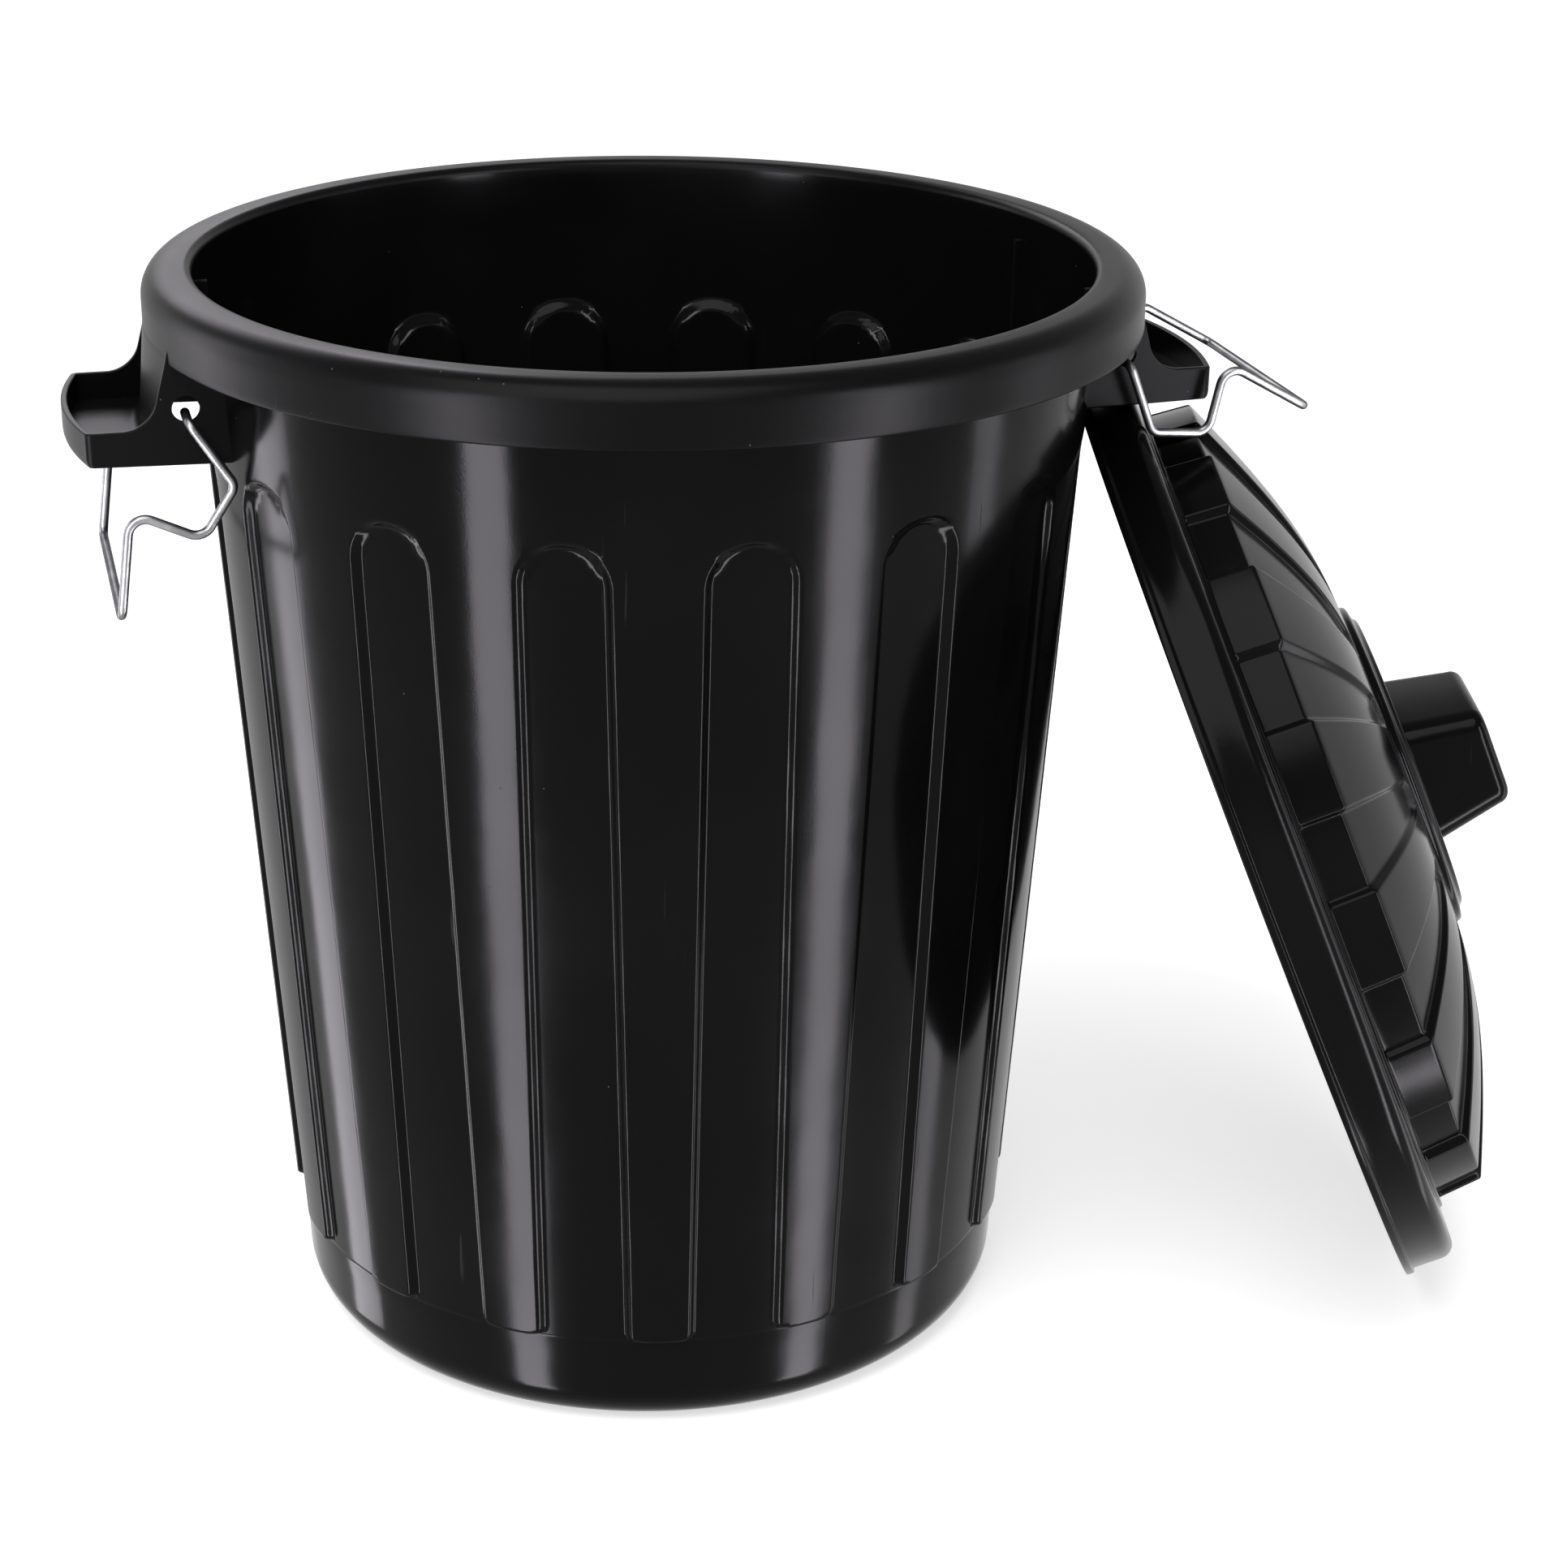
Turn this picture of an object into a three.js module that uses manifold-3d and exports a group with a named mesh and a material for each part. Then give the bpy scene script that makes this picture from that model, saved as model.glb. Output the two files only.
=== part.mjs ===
// A round moulded refuse bin with its lid off, in millimetres, +Z up.
// The bin stands on the floor with the origin at the middle of its underside and its two
// handles along X. Each handle carries a sprung wire bail. The left bail hangs beside the
// wall. The lid stands on its edge on the floor, leans on the wall under the right handle,
// and the right bail lies over the top of the leaning lid.

import * as THREE from 'three';
import { mergeVertices } from 'three/addons/utils/BufferGeometryUtils.js';
import Module from 'manifold-3d';

const wasm = await Module();
wasm.setup();

// ---------------------------------------------------------------- driving dimensions
const AROUND = 64;               // straight facets round every turned form
const CLEAR = 0.3;               // gap between pieces that touch

// bin: wall, lip and base
const BIN_HEIGHT = 557;
const WALL = 3;
const WALL_TOP_RADIUS = 223.4;   // outside of the wall, carried up to the top of the lip
const WALL_FOOT_RADIUS = 192.3;  // outside of the wall where the lands end
const LAND_FOOT_HEIGHT = 53;     // the lands between the flutes stop at this height
const BASE_ROUNDING = 22;        // outside radius where the wall turns under
const BASE_DRAFT = 1.3;          // how far the foot band draws in on its way down
const LIP_RADIUS = 245;          // outside of the rolled lip
const LIP_DROP = 28;             // from the top of the lip to its lower edge
const LIP_ROUNDING = 13;         // outer top edge of the lip
const LIP_INNER_ROUNDING = 4;    // edge where the lip turns down into the bin

// flutes pressed into the wall
const FLUTE_COUNT = 16;
const FLUTE_DEPTH = 4;
const FLUTE_TOP_DROP = 81;       // from the top of the lip to the crown of the round top
const FLUTE_TOP_HALF = 20.7;     // half width, and radius of the round top
const FLUTE_FOOT_HALF = 22.4;

// handles: two side plates, a bowed grip across their ends, an apron behind the hand and a
// floor between the apron and the grip
const HANDLE_HALF = 56;          // from the middle to the outer face of a side plate
const HANDLE_REACH = 278;        // from the bin's axis to the ends of the side plates
const GRIP_BOW = 8;              // how far the middle of the grip stands beyond its ends
const PLATE = 3;
const PLATE_FOOT_DROP = 77.5;    // from the lip's top to a plate's lower edge at the wall
const GRIP_FOOT_DROP = 76;       // and at the grip
const GRIP_HEIGHT = 16.5;
const ARM_CURVE = 17;            // hollow curve from the top of the arm up to the lip
const ARM_SLANT = 15;            // how far the arm leans in above the curve, degrees
const APRON_FLARE = 4.5;         // how far the apron's foot stands beyond the lip
const BAIL_HOLE_REACH = 231.5;   // hole for the bail, out from the axis
const BAIL_HOLE_DROP = 50;       // and down from the top of the lip
const BAIL_HOLE_RADIUS = 6.5;

// wire bails, drawn hanging: out from the hole and down from it
const WIRE = 4.5;
const BAIL_HALF = 66;            // from the middle to the centre line of an arm
const BAIL_END_INSIDE = 6;       // how far a wire end passes beyond the plate
const KNEE = { out: -20, down: 31.5, bend: 6 };
const HEEL = { out: -3.6, down: 56.4, bend: 8 };
const HOOK = { out: 29.4, down: 41.2, bend: 8 };
const TIP = { out: 36.3, down: 92.9, bend: 6 };
const EYE_BEND = 5;              // bend where an arm turns into its hole
const HANGING_ANGLE = 0;         // the left bail hangs plumb, clear of the wall

// lid, drawn flat with its free edge at height 0
const LID_FIT = 6.6;              // room between the skirt and the lip all round
const LID_WALL = 2.5;
const LID_BEAD = 2.5;            // how far the bead at the free edge stands out
const LID_BEAD_HEIGHT = 4;
const SKIRT_HEIGHT = 28;
const SKIRT_ROUNDING = 8;
const LEDGE_STEP = 2;            // low step on the ledge, close to the drum
const LEDGE_STEP_WIDTH = 5;
const DRUM_FOOT_RADIUS = 224;    // the drum rises from the ledge inside the rim's land
const DRUM_TOP_RADIUS = 221.6;   // edge between the drum's side and the dome
const DRUM_TOP_HEIGHT = 53.7;
const BLOCK_RELIEF = 4;          // how far the raised blocks stand out of the drum's side
const BLOCK_SHARE = 0.54;        // part of each pitch that a raised block takes
const DOME_RELIEF = 2.5;         // depth of the flutes in the dome
const DOME_FLUTE_TIP_RADIUS = 108;
const DOME_FLUTE_TIP_HALF = 8;
const DOME_TOP_HEIGHT = 89;
const DISC_RADIUS = 90;
const DISC_EDGE_HEIGHT = 93;
const DISC_TOP_RADIUS = 80;
const DISC_TOP_HEIGHT = 96.5;
const KNOB_HEIGHT = 42.5;
const KNOB_FOOT = { length: 84, width: 70, corner: 13 };
const KNOB_TOP = { length: 79, width: 56, corner: 12 };
const KNOB_ROUNDING = 6;
const KNOB_WALL = 3;
const BLOCK_PHASE = -4.8;       // turn of the raised blocks about the lid's axis, degrees

// where the lid leans
const LID_FACING = -15;          // direction that the lid's top faces, degrees from +X
const LID_FOOT_REACH = 420.5;    // from the bin's axis to the point where the lid stands
const LID_FOOT_BEARING = -8.65;  // direction of that point from the bin's axis, degrees

const PLASTIC = { color: 0x121214, roughness: 0.22, metalness: 0 };
const ZINC_WIRE = { color: 0xb4b6b8, roughness: 0.35, metalness: 1 };

// ---------------------------------------------------------------- plain helpers
const rad = THREE.MathUtils.degToRad;
const v2 = (x, y) => new THREE.Vector2(x, y);
const v3 = (x, y, z) => new THREE.Vector3(x, y, z);

// A closed surface becomes a solid: equal corners are merged and flat slivers dropped.
function toSolid(geometry) {
  const bare = geometry.clone();
  for (const name of Object.keys(bare.attributes)) {
    if (name !== 'position') bare.deleteAttribute(name);
  }
  const merged = mergeVertices(bare, 1e-4);
  const corners = merged.index.array;
  const triangles = [];
  for (let i = 0; i < corners.length; i += 3) {
    const [a, b, c] = [corners[i], corners[i + 1], corners[i + 2]];
    if (a !== b && b !== c && c !== a) triangles.push(a, b, c);
  }
  const build = (list) => new wasm.Manifold(new wasm.Mesh({
    numProp: 3,
    vertProperties: new Float32Array(merged.attributes.position.array),
    triVerts: new Uint32Array(list),
  }));
  const solid = build(triangles);
  if (solid.volume() > 0) return solid;
  for (let i = 0; i < triangles.length; i += 3) {
    [triangles[i], triangles[i + 1]] = [triangles[i + 1], triangles[i]];
  }
  return build(triangles);
}

function toMesh(name, solid, finish) {
  const { vertProperties, triVerts, numProp } = solid.getMesh();
  const geometry = new THREE.BufferGeometry();
  const positions = new Float32Array((vertProperties.length / numProp) * 3);
  for (let i = 0; i < positions.length / 3; i += 1) {
    positions.set(vertProperties.subarray(i * numProp, i * numProp + 3), i * 3);
  }
  geometry.setAttribute('position', new THREE.BufferAttribute(positions, 3));
  geometry.setIndex(new THREE.BufferAttribute(new Uint32Array(triVerts), 1));
  geometry.computeVertexNormals();
  const mesh = new THREE.Mesh(geometry, new THREE.MeshStandardMaterial(finish));
  mesh.name = name;
  return mesh;
}

// Points of an arc about (x, y), from one angle to another, both in degrees.
function arc(x, y, radius, from, to, steps) {
  const points = [];
  for (let i = 0; i <= steps; i += 1) {
    const angle = rad(from + ((to - from) * i) / steps);
    points.push(v2(x + radius * Math.cos(angle), y + radius * Math.sin(angle)));
  }
  return points;
}

// A turned form about Z from a profile of (radius, height) points.
function turned(profile) {
  const geometry = new THREE.LatheGeometry(profile, AROUND);
  geometry.rotateX(Math.PI / 2);
  return toSolid(geometry);
}

// A turned ring whose profile closes on itself.
const turnedRing = (profile) => turned([...profile, profile[0]]);

// An outline of (across, height) points pushed out along +X, from one distance to another.
function pushedAlongX(outline, from, to) {
  const geometry = new THREE.ExtrudeGeometry(new THREE.Shape(outline), {
    depth: to - from, bevelEnabled: false,
  });
  geometry.applyMatrix4(new THREE.Matrix4().makeBasis(v3(0, 1, 0), v3(0, 0, 1), v3(1, 0, 0)));
  geometry.translate(from, 0, 0);
  return toSolid(geometry);
}

// An outline of (x, height) points given a thickness along Y, from one y to another.
function pushedAlongY(outline, from, to) {
  const geometry = new THREE.ExtrudeGeometry(new THREE.Shape(outline), {
    depth: to - from, bevelEnabled: false,
  });
  geometry.rotateX(Math.PI / 2);
  geometry.translate(0, to, 0);
  return toSolid(geometry);
}

// An outline of (x, y) points raised from one height to another.
function raised(outline, from, to) {
  const geometry = new THREE.ExtrudeGeometry(new THREE.Shape(outline), {
    depth: to - from, bevelEnabled: false,
  });
  geometry.translate(0, 0, from);
  return toSolid(geometry);
}

const joined = (solids) => solids.reduce((sum, solid) => sum.add(solid));

// Equal copies of a solid all round the Z axis.
function allRound(solid, count, phase = 0) {
  const copies = [];
  for (let i = 0; i < count; i += 1) {
    copies.push(solid.rotate([0, 0, phase + (360 * i) / count]));
  }
  return joined(copies);
}

// Smallest step of t in [low, high] at which fits(t) turns true, by halving.
function halve(low, high, fits) {
  for (let i = 0; i < 40; i += 1) {
    const middle = (low + high) / 2;
    if (fits(middle)) high = middle;
    else low = middle;
  }
  return high;
}

// ---------------------------------------------------------------- bin
const fluteTopHeight = BIN_HEIGHT - FLUTE_TOP_DROP;
const plateFootHeight = BIN_HEIGHT - PLATE_FOOT_DROP;
const gripFootHeight = BIN_HEIGHT - GRIP_FOOT_DROP;
const bailHoleHeight = BIN_HEIGHT - BAIL_HOLE_DROP;
const wallSlope = (WALL_TOP_RADIUS - WALL_FOOT_RADIUS) / (BIN_HEIGHT - LAND_FOOT_HEIGHT);
const wallRadius = (z) => WALL_FOOT_RADIUS + wallSlope * (z - LAND_FOOT_HEIGHT);
const STEP_MARGIN = 0.2;                          // foot band lies this far inside the flutes
const footInset = FLUTE_DEPTH + STEP_MARGIN;
const footTopRadius = WALL_FOOT_RADIUS - footInset;
const footRadius = footTopRadius - BASE_DRAFT;    // outside of the foot band at its rounding
const innerLandFoot = LAND_FOOT_HEIGHT + WALL;
const lipInner = WALL_TOP_RADIUS - WALL;
const lipTopUnder = BIN_HEIGHT - WALL;
const lipFoot = BIN_HEIGHT - LIP_DROP;

function binShell() {
  return turned([
    v2(0, 0),
    ...arc(footRadius - BASE_ROUNDING, BASE_ROUNDING, BASE_ROUNDING, -90, 0, 5),
    v2(footTopRadius, LAND_FOOT_HEIGHT),
    v2(WALL_FOOT_RADIUS, LAND_FOOT_HEIGHT),
    v2(wallRadius(lipTopUnder), lipTopUnder),
    ...arc(LIP_RADIUS - LIP_ROUNDING, BIN_HEIGHT - LIP_ROUNDING, LIP_ROUNDING - WALL, 90, 0, 3),
    v2(LIP_RADIUS - WALL, lipFoot),
    v2(LIP_RADIUS, lipFoot),
    ...arc(LIP_RADIUS - LIP_ROUNDING, BIN_HEIGHT - LIP_ROUNDING, LIP_ROUNDING, 0, 90, 4),
    ...arc(lipInner + LIP_INNER_ROUNDING, BIN_HEIGHT - LIP_INNER_ROUNDING,
      LIP_INNER_ROUNDING, 90, 180, 2),
    v2(wallRadius(innerLandFoot) - WALL, innerLandFoot),
    v2(footTopRadius - WALL, innerLandFoot),
    ...arc(footRadius - BASE_ROUNDING, BASE_ROUNDING, BASE_ROUNDING - WALL, 0, -90, 4),
    v2(0, WALL),
  ]);
}

// A flute seen square on: straight sides and a round top, open at the foot.
// grow widens it all round for the back of the pressed wall.
function fluteOutline(grow, foot) {
  const crown = fluteTopHeight - FLUTE_TOP_HALF;
  const spread = (FLUTE_FOOT_HALF - FLUTE_TOP_HALF) / (crown - LAND_FOOT_HEIGHT);
  const footHalf = FLUTE_TOP_HALF + spread * (crown - foot) + grow;
  return [
    v2(-footHalf, foot),
    v2(footHalf, foot),
    ...arc(0, crown, FLUTE_TOP_HALF + grow, 0, 180, 8),
  ];
}

// The ring that the backs of the flutes fill: from inside the wall to their inner faces.
// Its foot stays within the step under the lands.
function backRing(top) {
  const foot = LAND_FOOT_HEIGHT + WALL / 3;
  const clearOfStep = innerLandFoot + WALL;
  return turnedRing([
    v2(footTopRadius - WALL / 2, foot),
    v2(wallRadius(foot) - WALL / 2, foot),
    v2(wallRadius(top) - WALL / 2, top),
    v2(wallRadius(top) - FLUTE_DEPTH - WALL, top),
    v2(wallRadius(clearOfStep) - FLUTE_DEPTH - WALL, clearOfStep),
  ]);
}

// The ring that the flutes are cut out of: from their floor to beyond the wall.
function hollowRing(foot, top) {
  return turnedRing([
    v2(wallRadius(foot) - FLUTE_DEPTH, foot),
    v2(wallRadius(foot) + WALL, foot),
    v2(wallRadius(top) + WALL, top),
    v2(wallRadius(top) - FLUTE_DEPTH, top),
  ]);
}

function flutedShell() {
  const reachIn = WALL_FOOT_RADIUS / 2;
  const top = fluteTopHeight + 2 * WALL;
  const hollowFoot = LAND_FOOT_HEIGHT - 2 * STEP_MARGIN;
  const back = pushedAlongX(fluteOutline(WALL, LAND_FOOT_HEIGHT - WALL), reachIn, LIP_RADIUS);
  const hollow = pushedAlongX(fluteOutline(0, hollowFoot - WALL), reachIn, LIP_RADIUS);
  const backs = allRound(back, FLUTE_COUNT).intersect(backRing(top));
  const hollows = allRound(hollow, FLUTE_COUNT).intersect(hollowRing(hollowFoot, top));
  return binShell().add(backs).subtract(hollows);
}

// Where the middle of the wall's thickness meets a plane at a given distance from the axis.
const insideWall = (z, y) => Math.sqrt((wallRadius(z) - WALL / 2) ** 2 - y ** 2);

// One side plate, seen square on: under the arm, out to the grip, and back up to the lip.
function sidePlate() {
  const inner = HANDLE_HALF - PLATE;
  const lipAtPlate = Math.sqrt((LIP_RADIUS - WALL / 2) ** 2 - HANDLE_HALF ** 2);
  const lipRounding = LIP_ROUNDING - WALL / 2;
  const armTop = gripFootHeight + GRIP_HEIGHT;
  const slant = rad(ARM_SLANT);
  const leaning = lipFoot + CLEAR - armTop - ARM_CURVE * (1 - Math.sin(slant));
  const curveX = lipAtPlate + WALL + ARM_CURVE * Math.cos(slant) + leaning * Math.tan(slant);
  const wallTop = insideWall(lipTopUnder, HANDLE_HALF);
  const outline = [
    v2(insideWall(plateFootHeight, HANDLE_HALF), plateFootHeight),
    v2(HANDLE_REACH - PLATE, gripFootHeight),
    v2(HANDLE_REACH, gripFootHeight + PLATE),
    v2(HANDLE_REACH, armTop),
    ...arc(curveX, armTop + ARM_CURVE, ARM_CURVE, -90, ARM_SLANT - 180, 6),
    v2(lipAtPlate + WALL, lipFoot + CLEAR),
    v2(lipAtPlate, lipFoot + WALL),
    ...arc(lipAtPlate - lipRounding, BIN_HEIGHT - LIP_ROUNDING, lipRounding, 0, 90, 3),
    v2(wallTop + LIP_INNER_ROUNDING, lipTopUnder + WALL / 2),
    v2(wallTop, lipTopUnder - WALL / 2),
  ];
  return pushedAlongY(outline, inner, HANDLE_HALF);
}

// The grip in plan: an arc through both plate ends and the bowed middle.
const bowRadius = (HANDLE_HALF ** 2 + GRIP_BOW ** 2) / (2 * GRIP_BOW);
const bowCentre = HANDLE_REACH + GRIP_BOW - bowRadius;
const bowHalf = THREE.MathUtils.radToDeg(Math.asin(HANDLE_HALF / bowRadius));
const bowArc = (inset, half) => arc(bowCentre, 0, bowRadius - inset, -half, half, 10);

function grip() {
  const outline = [...bowArc(0, bowHalf), ...bowArc(PLATE, bowHalf).reverse()];
  return raised(outline, gripFootHeight, gripFootHeight + GRIP_HEIGHT);
}

// The apron carries the outer face of the lip down between the side plates, and flares on
// its way to the floor of the handle.
const apronFoot = LIP_RADIUS + APRON_FLARE;

function apron() {
  const half = HANDLE_HALF - PLATE / 2;
  const ring = turnedRing([
    v2(apronFoot - WALL, gripFootHeight),
    v2(apronFoot, gripFootHeight),
    v2(LIP_RADIUS, lipFoot + WALL),
    v2(LIP_RADIUS - WALL, lipFoot + WALL),
  ]);
  const between = raised([v2(0, -half), v2(apronFoot + WALL, -half),
    v2(apronFoot + WALL, half), v2(0, half)], gripFootHeight - WALL, BIN_HEIGHT);
  return ring.intersect(between);
}

// The floor of the handle lies between the apron, the grip and the two side plates.
function handleFloor() {
  const sides = HANDLE_HALF - PLATE / 2;
  const back = apronFoot - WALL / 2;
  const angleTo = (radius) => THREE.MathUtils.radToDeg(Math.asin(sides / radius));
  const outline = [
    ...bowArc(PLATE / 2, angleTo(bowRadius - PLATE / 2)),
    ...arc(0, 0, back, angleTo(back), -angleTo(back), 10),
  ];
  return raised(outline, gripFootHeight, gripFootHeight + PLATE);
}

// A twelve-sided hole through a side plate, no narrower than its radius anywhere.
function bailHole() {
  const corner = BAIL_HOLE_RADIUS / Math.cos(rad(15));
  return pushedAlongY(arc(BAIL_HOLE_REACH, bailHoleHeight, corner, 15, 345, 11),
    HANDLE_HALF - PLATE - CLEAR, HANDLE_HALF + PLATE);
}

function handle() {
  const plate = sidePlate();
  const hole = bailHole();
  return joined([plate, plate.mirror([0, 1, 0]), grip(), apron(), handleFloor()])
    .subtract(hole).subtract(hole.mirror([0, 1, 0]));
}

function canBody() {
  const right = handle();
  return flutedShell().add(right).add(right.rotate([0, 0, 180]));
}

// ---------------------------------------------------------------- wire bails
const wireRadius = WIRE / 2;
// The wire hangs on the lower edge of its hole.
const pivotHeight = bailHoleHeight - BAIL_HOLE_RADIUS + wireRadius + CLEAR;

// A run of straight lengths joined by round bends, each given as a corner and a bend radius.
function bentRun(corners, stepsPerBend) {
  const points = [corners[0].at];
  for (let i = 1; i < corners.length - 1; i += 1) {
    const { at, bend } = corners[i];
    const back = corners[i - 1].at.clone().sub(at).normalize();
    const ahead = corners[i + 1].at.clone().sub(at).normalize();
    const halfAngle = back.angleTo(ahead) / 2;
    const cut = bend / Math.tan(halfAngle);
    const middle = back.clone().add(ahead).normalize();
    const centre = at.clone().addScaledVector(middle, bend / Math.sin(halfAngle));
    const start = at.clone().addScaledVector(back, cut).sub(centre);
    const end = at.clone().addScaledVector(ahead, cut).sub(centre);
    const sweep = start.angleTo(end);
    const axis = start.clone().cross(end).normalize();
    for (let s = 0; s <= stepsPerBend; s += 1) {
      points.push(start.clone().applyAxisAngle(axis, (sweep * s) / stepsPerBend).add(centre));
    }
  }
  points.push(corners[corners.length - 1].at);
  return points;
}

// A curve that stops exactly at the points of a run, so that straight lengths stay straight.
class WireRoute extends THREE.Curve {
  constructor(points) {
    super();
    this.points = points;
  }

  getPoint(t, target = v3(0, 0, 0)) {
    const place = t * (this.points.length - 1);
    const i = Math.min(Math.floor(place + 1e-9), this.points.length - 2);
    return target.lerpVectors(this.points[i], this.points[i + 1], place - i);
  }

  getPointAt(t, target) {
    return this.getPoint(t, target);
  }

  getTangentAt(t, target = v3(0, 0, 0)) {
    const last = this.points.length - 1;
    const i = Math.round(t * last);
    const before = this.points[Math.max(i - 1, 0)];
    const here = this.points[i];
    const after = this.points[Math.min(i + 1, last)];
    const arriving = i > 0 ? here.clone().sub(before).normalize() : v3(0, 0, 0);
    const leaving = i < last ? after.clone().sub(here).normalize() : v3(0, 0, 0);
    return target.addVectors(arriving, leaving).normalize();
  }
}

// The bail's centre line, hanging from its hole: X out, Y across, Z up.
function bailRun() {
  const corner = (shape, y, bend = shape.bend) => ({ at: v3(shape.out, y, -shape.down), bend });
  const eye = { out: 0, down: 0 };
  const endInside = HANDLE_HALF - PLATE - BAIL_END_INSIDE;
  const near = [
    corner(eye, -endInside, 0), corner(eye, -BAIL_HALF, EYE_BEND), corner(KNEE, -BAIL_HALF),
    corner(HEEL, -BAIL_HALF), corner(HOOK, -BAIL_HALF), corner(TIP, -BAIL_HALF),
  ];
  const far = near.map(({ at, bend }) => ({ at: v3(at.x, -at.y, at.z), bend })).reverse();
  return bentRun([...near, ...far], 4);
}

const run = bailRun();
const RUN_STEPS = 20;            // tested points on each length of the run
const tested = run.slice(1).flatMap((point, i) => Array.from({ length: RUN_STEPS },
  (_, k) => run[i].clone().lerp(point, (k + 1) / RUN_STEPS)));

// A point of the hanging bail after it has swung out by an angle in degrees.
function swungOut(point, angle) {
  const p = point.clone().applyAxisAngle(v3(0, 1, 0), -rad(angle));
  return p.add(v3(BAIL_HOLE_REACH, 0, pivotHeight));
}

function bail(angle) {
  const route = new WireRoute(run);
  const section = new THREE.Shape(arc(0, 0, wireRadius, 0, 315, 7));
  const geometry = new THREE.ExtrudeGeometry(section, {
    steps: run.length - 1, bevelEnabled: false, extrudePath: route,
  });
  geometry.rotateY(-rad(angle));
  geometry.translate(BAIL_HOLE_REACH, 0, pivotHeight);
  return toSolid(geometry);
}

// ---------------------------------------------------------------- lid
const skirtInner = LIP_RADIUS + LID_FIT;
const skirtOuter = skirtInner + LID_WALL;
const lidEdge = skirtOuter + LID_BEAD;
const ledgeInner = DRUM_FOOT_RADIUS + LEDGE_STEP_WIDTH;
const drumFoot = SKIRT_HEIGHT + LEDGE_STEP;
const wedgeHalf = (180 / FLUTE_COUNT) * (1 - BLOCK_SHARE);   // half of a recessed block, degrees
const knobTopHeight = DISC_TOP_HEIGHT + KNOB_HEIGHT;

// The lid's skin from its free edge up to the middle of the disc, without the bead. The
// raised blocks and the dome between its flutes lie on it, and the two reliefs set back
// the recessed blocks and the flutes.
function lidSkin(drumRelief, domeRelief) {
  const domeRun = DRUM_TOP_RADIUS - drumRelief - DISC_RADIUS;
  const domeRise = DOME_TOP_HEIGHT - DRUM_TOP_HEIGHT;
  const dome = (share) => v2(DISC_RADIUS + domeRun * (1 - share),
    DRUM_TOP_HEIGHT - domeRelief + domeRise * Math.sin(share * rad(90)));
  const recess = drumRelief > 0 ? [v2(DRUM_FOOT_RADIUS - drumRelief, drumFoot)] : [];
  return [
    v2(skirtOuter, 0),
    ...arc(skirtOuter - SKIRT_ROUNDING, SKIRT_HEIGHT - SKIRT_ROUNDING, SKIRT_ROUNDING, 0, 90, 3),
    v2(ledgeInner + 1, SKIRT_HEIGHT),
    v2(ledgeInner, drumFoot),
    v2(DRUM_FOOT_RADIUS, drumFoot),
    ...recess,
    dome(0), dome(0.25), dome(0.5), dome(0.75), dome(1),
    v2(DISC_RADIUS, DISC_EDGE_HEIGHT),
    v2(DISC_TOP_RADIUS, DISC_TOP_HEIGHT),
    v2(0, DISC_TOP_HEIGHT),
  ];
}

const bead = [v2(lidEdge, 0), v2(lidEdge, LID_BEAD_HEIGHT), v2(skirtOuter, LID_BEAD_HEIGHT)];
const lidOutside = (drumRelief, domeRelief) => [
  v2(0, 0), ...bead, ...lidSkin(drumRelief, domeRelief).slice(1),
];

// A line of points moved to its left by a distance, with its corners kept sharp.
function setIn(points, distance) {
  const normals = points.slice(1).map((p, i) => {
    const along = p.clone().sub(points[i]).normalize();
    return v2(-along.y, along.x);
  });
  return points.map((p, i) => {
    const before = normals[Math.max(i - 1, 0)];
    const after = normals[Math.min(i, normals.length - 1)];
    const mitre = before.clone().add(after);
    return p.clone().addScaledVector(mitre, (2 * distance) / mitre.lengthSq());
  });
}

// The room under a skin, open at the free edge.
function lidInside(drumRelief, domeRelief) {
  const [foot, ...rest] = setIn(lidSkin(drumRelief, domeRelief), LID_WALL);
  return turned([v2(0, -LID_WALL), v2(foot.x, -LID_WALL), ...rest]);
}

// The dome's flutes and the recessed blocks are the same sixteen wedges, seen from above:
// as wide as a recessed block at the drum, and round at the tip beside the disc.
function wedgeOutline(grow, outer) {
  const side = DRUM_TOP_RADIUS - BLOCK_RELIEF - DOME_RELIEF;
  const half = wedgeHalf + THREE.MathUtils.radToDeg(grow / side);
  const tipHalf = DOME_FLUTE_TIP_HALF + grow;
  const tip = arc(DOME_FLUTE_TIP_RADIUS + DOME_FLUTE_TIP_HALF, 0, tipHalf, 105, 255, 5);
  const corner = (sign) => v2(side * Math.cos(rad(half)), sign * side * Math.sin(rad(half)));
  return [...arc(0, 0, outer, -half, half, 2), corner(1), ...tip, corner(-1)];
}

// A box with round corners whose length and width change from level to level.
function knobLevel({ length, width, corner }, height, inset = 0) {
  const r = Math.max(corner - inset, 1);
  const x = width / 2 - inset - r;
  const y = length / 2 - inset - r;
  const outline = [
    ...arc(x, y, r, 0, 90, 3), ...arc(-x, y, r, 90, 180, 3),
    ...arc(-x, -y, r, 180, 270, 3), ...arc(x, -y, r, 270, 360, 3),
  ];
  return outline.map((p) => v3(p.x, p.y, height));
}

function stacked(levels) {
  const count = levels[0].length;
  const positions = levels.flat().flatMap((p) => [p.x, p.y, p.z]);
  const index = [];
  for (let level = 0; level < levels.length - 1; level += 1) {
    for (let i = 0; i < count; i += 1) {
      const a = level * count + i;
      const b = level * count + ((i + 1) % count);
      index.push(a, b, b + count, a, b + count, a + count);
    }
  }
  const top = (levels.length - 1) * count;
  for (let i = 1; i < count - 1; i += 1) {
    index.push(0, i + 1, i);
    index.push(top, top + i, top + i + 1);
  }
  const geometry = new THREE.BufferGeometry();
  geometry.setAttribute('position', new THREE.Float32BufferAttribute(positions, 3));
  geometry.setIndex(index);
  return toSolid(geometry);
}

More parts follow.
